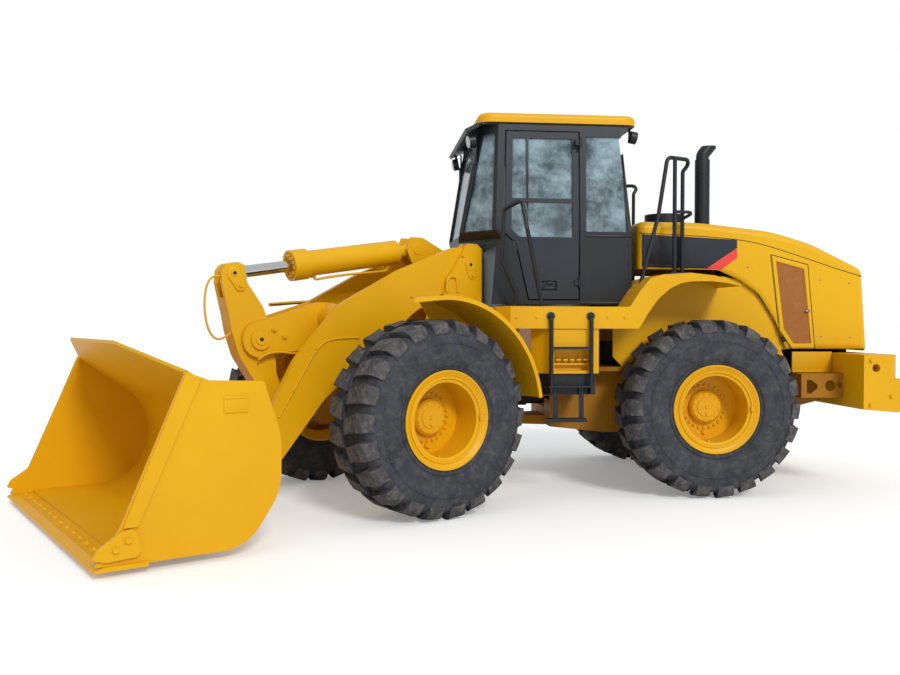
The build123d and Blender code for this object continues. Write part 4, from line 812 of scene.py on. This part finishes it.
def makeControls():
    bm = bmesh.new()
    for box in controls["boxes"]:
        addBox(bm, *box)
    for side, word in bothSides:
        for box in controls["armrests"]:
            addSideBox(bm, side, *box)
    for x in controls["levers"]:
        addRound(bm, (x, controls["leverY"], 2295), (0.1, 0, 1), 9, 8, 120, 10)
        addRound(bm, (x + 11, controls["leverY"], 2410), (0.1, 0, 1), 20, 16, 42, 12)
    addRound(bm, *controls["column"], 20)
    finishPiece("cabControls", bm, ["cabTrim"], "rear", rearPlace())
    bm = bmesh.new()
    addRing(bm, (0, 0, 0), (0, 0, 1), controls["wheelRadius"], controls["wheelSection"], 40)
    for k in range(3):
        a = math.tau * k / 3
        addRound(bm, (0, 0, -4), (math.cos(a), math.sin(a), 0), 12, 10, 170, 10)
    addRound(bm, (0, 0, -24), (0, 0, 1), 38, 34, 40, 20)
    lean = Matrix.Rotation(math.radians(-controls["wheelLean"]), 3, "Y")
    bmesh.ops.rotate(bm, verts=bm.verts, cent=(0, 0, 0), matrix=lean)
    bmesh.ops.translate(bm, verts=bm.verts, vec=controls["wheelAt"])
    finishPiece("steeringWheel", bm, ["satinBlack"], "rear", rearPlace(), (), 50)


cab = {
    # lowest and highest corner and softened edge
    "doorBar": ((-66, 784, 2380), (-48, 802, 3292), 2),
    "doorLatch": [((-338, 803, 1862), (-182, 810, 1968), 2), ((-322, 818, 1880), (-200, 826, 1900), 3),
                  ((-300, 808, 1930), (-240, 824, 1952), 4)],
    "strips": [((-1040, 827, 2370), (-600, 836, 2388), 2), ((-1040, 827, 1744), (-560, 836, 1764), 2)],
    "stripBolts": [(-1010, 829, 1830), (-1010, 829, 2120), (-1010, 829, 2300)],
    # lamps' middles, the way they look, foot's and top's radius
    "lamps": [((450, 640, 3270), (1, 0.15, -0.2), 56, 54), ((-1110, 640, 3340), (-1, 0, -0.2), 52, 50)],
    "lensRise": 29.0,
    "mirror": ((396, 560, 3060), (420, 640, 3230), 8), "mirrorStalk": (400, 600, 3220),
}


def makeCabTrim():
    place = rearPlace()
    bm = bmesh.new()
    addBox(bm, *cab["doorBar"])
    finishPiece("doorBar", bm, ["satinBlack"], "door", place)
    bm = bmesh.new()
    for box in cab["doorLatch"]:
        addBox(bm, *box)
    finishPiece("doorLatch", bm, ["satinBlack"], "door", place)
    strips, lenses, mirrors = bmesh.new(), bmesh.new(), bmesh.new()
    for side, word in bothSides:
        for box in cab["strips"]:
            addSideBox(strips, side, *box)
        for x, y, z in cab["stripBolts"]:
            addBolt(strips, (x, side * y, z), (0, side, 0), 8)
        for (x, y, z), ahead, low, high in cab["lamps"]:
            ahead = Vector(ahead).normalized()
            addRound(lenses, Vector((x, side * y, z)) + ahead * cab["lensRise"], ahead, low, high, 6, 28)
        addSideBox(mirrors, side, *cab["mirror"])
        x, y, z = cab["mirrorStalk"]
        addRound(mirrors, (x, side * y, z), (0, 0, 1), 9, 9, 150, 12)
    finishPiece("cabStrips", strips, ["satinBlack"], "rear", place)
    finishPiece("lampLenses", lenses, ["lampGlass"], "rear", place)
    finishPiece("mirrors", mirrors, ["satinBlack"], "rear", place)
    makeSeat()
    makeControls()
    print("cab trim made")


# ---- platforms and counterweight ----
tail = {
    "ribs": 22, "ribStart": -520.0, "ribStep": 34.0, "rib": ((0, 905, 1713), (9, 1215, 1720)),
    "beamBolts": [-860, -700, -60, 120],
    "weightBolts": [(-3180, 820), (-3180, 1230), (-3380, 900)],
    "weightPlugs": [-900, -500, 500, 900],
    "lampY": [-640, 640],
}


def makeBodyTrim():
    place = rearPlace()
    bm = bmesh.new()  # non-slip ribs on the platforms and bolts along their edge beams
    (ribX, ribLow, ribFoot), (ribWide, ribHigh, ribTop) = tail["rib"]
    for side, word in bothSides:
        for k in range(tail["ribs"]):
            x = tail["ribStart"] + k * tail["ribStep"]
            addSideBox(bm, side, (x + ribX, ribLow, ribFoot), (x + ribWide, ribHigh, ribTop), 0)
        for x in tail["beamBolts"]:
            addBolt(bm, (x, side * 1239, 1618), (0, side, 0), 11)
    finishPiece("platformRibs", bm, ["sprayedYellow"], "rear", place)
    bm = bmesh.new()
    for side, word in bothSides:
        for x, z in tail["weightBolts"]:
            addBolt(bm, (x, side * 1249, z), (0, side, 0), 20)
    for y in tail["weightPlugs"]:
        addRound(bm, (-3448, y, 1180), (-1, 0, 0), 34, 30, 16, 24)
    for y in tail["lampY"]:
        addBox(bm, (-3470, y - 90, 1190), (-3452, y + 90, 1262), 6)
    finishPiece("counterweightBolts", bm, ["sprayedYellow"], "rear", place)
    bm = bmesh.new()
    for y in tail["lampY"]:
        addBox(bm, (-3478, y - 78, 1200), (-3466, y + 78, 1252), 5)
    finishPiece("tailLamps", bm, ["stripeRed"], "rear", place)
    print("body trim made")


makeWheels()
makeHoodTrim()
makeBucketTrim()
makeLinkageTrim()
makeTiltTrim()
makeCabTrim()
makeBodyTrim()

bpy.context.scene.view_settings.view_transform = "Standard"
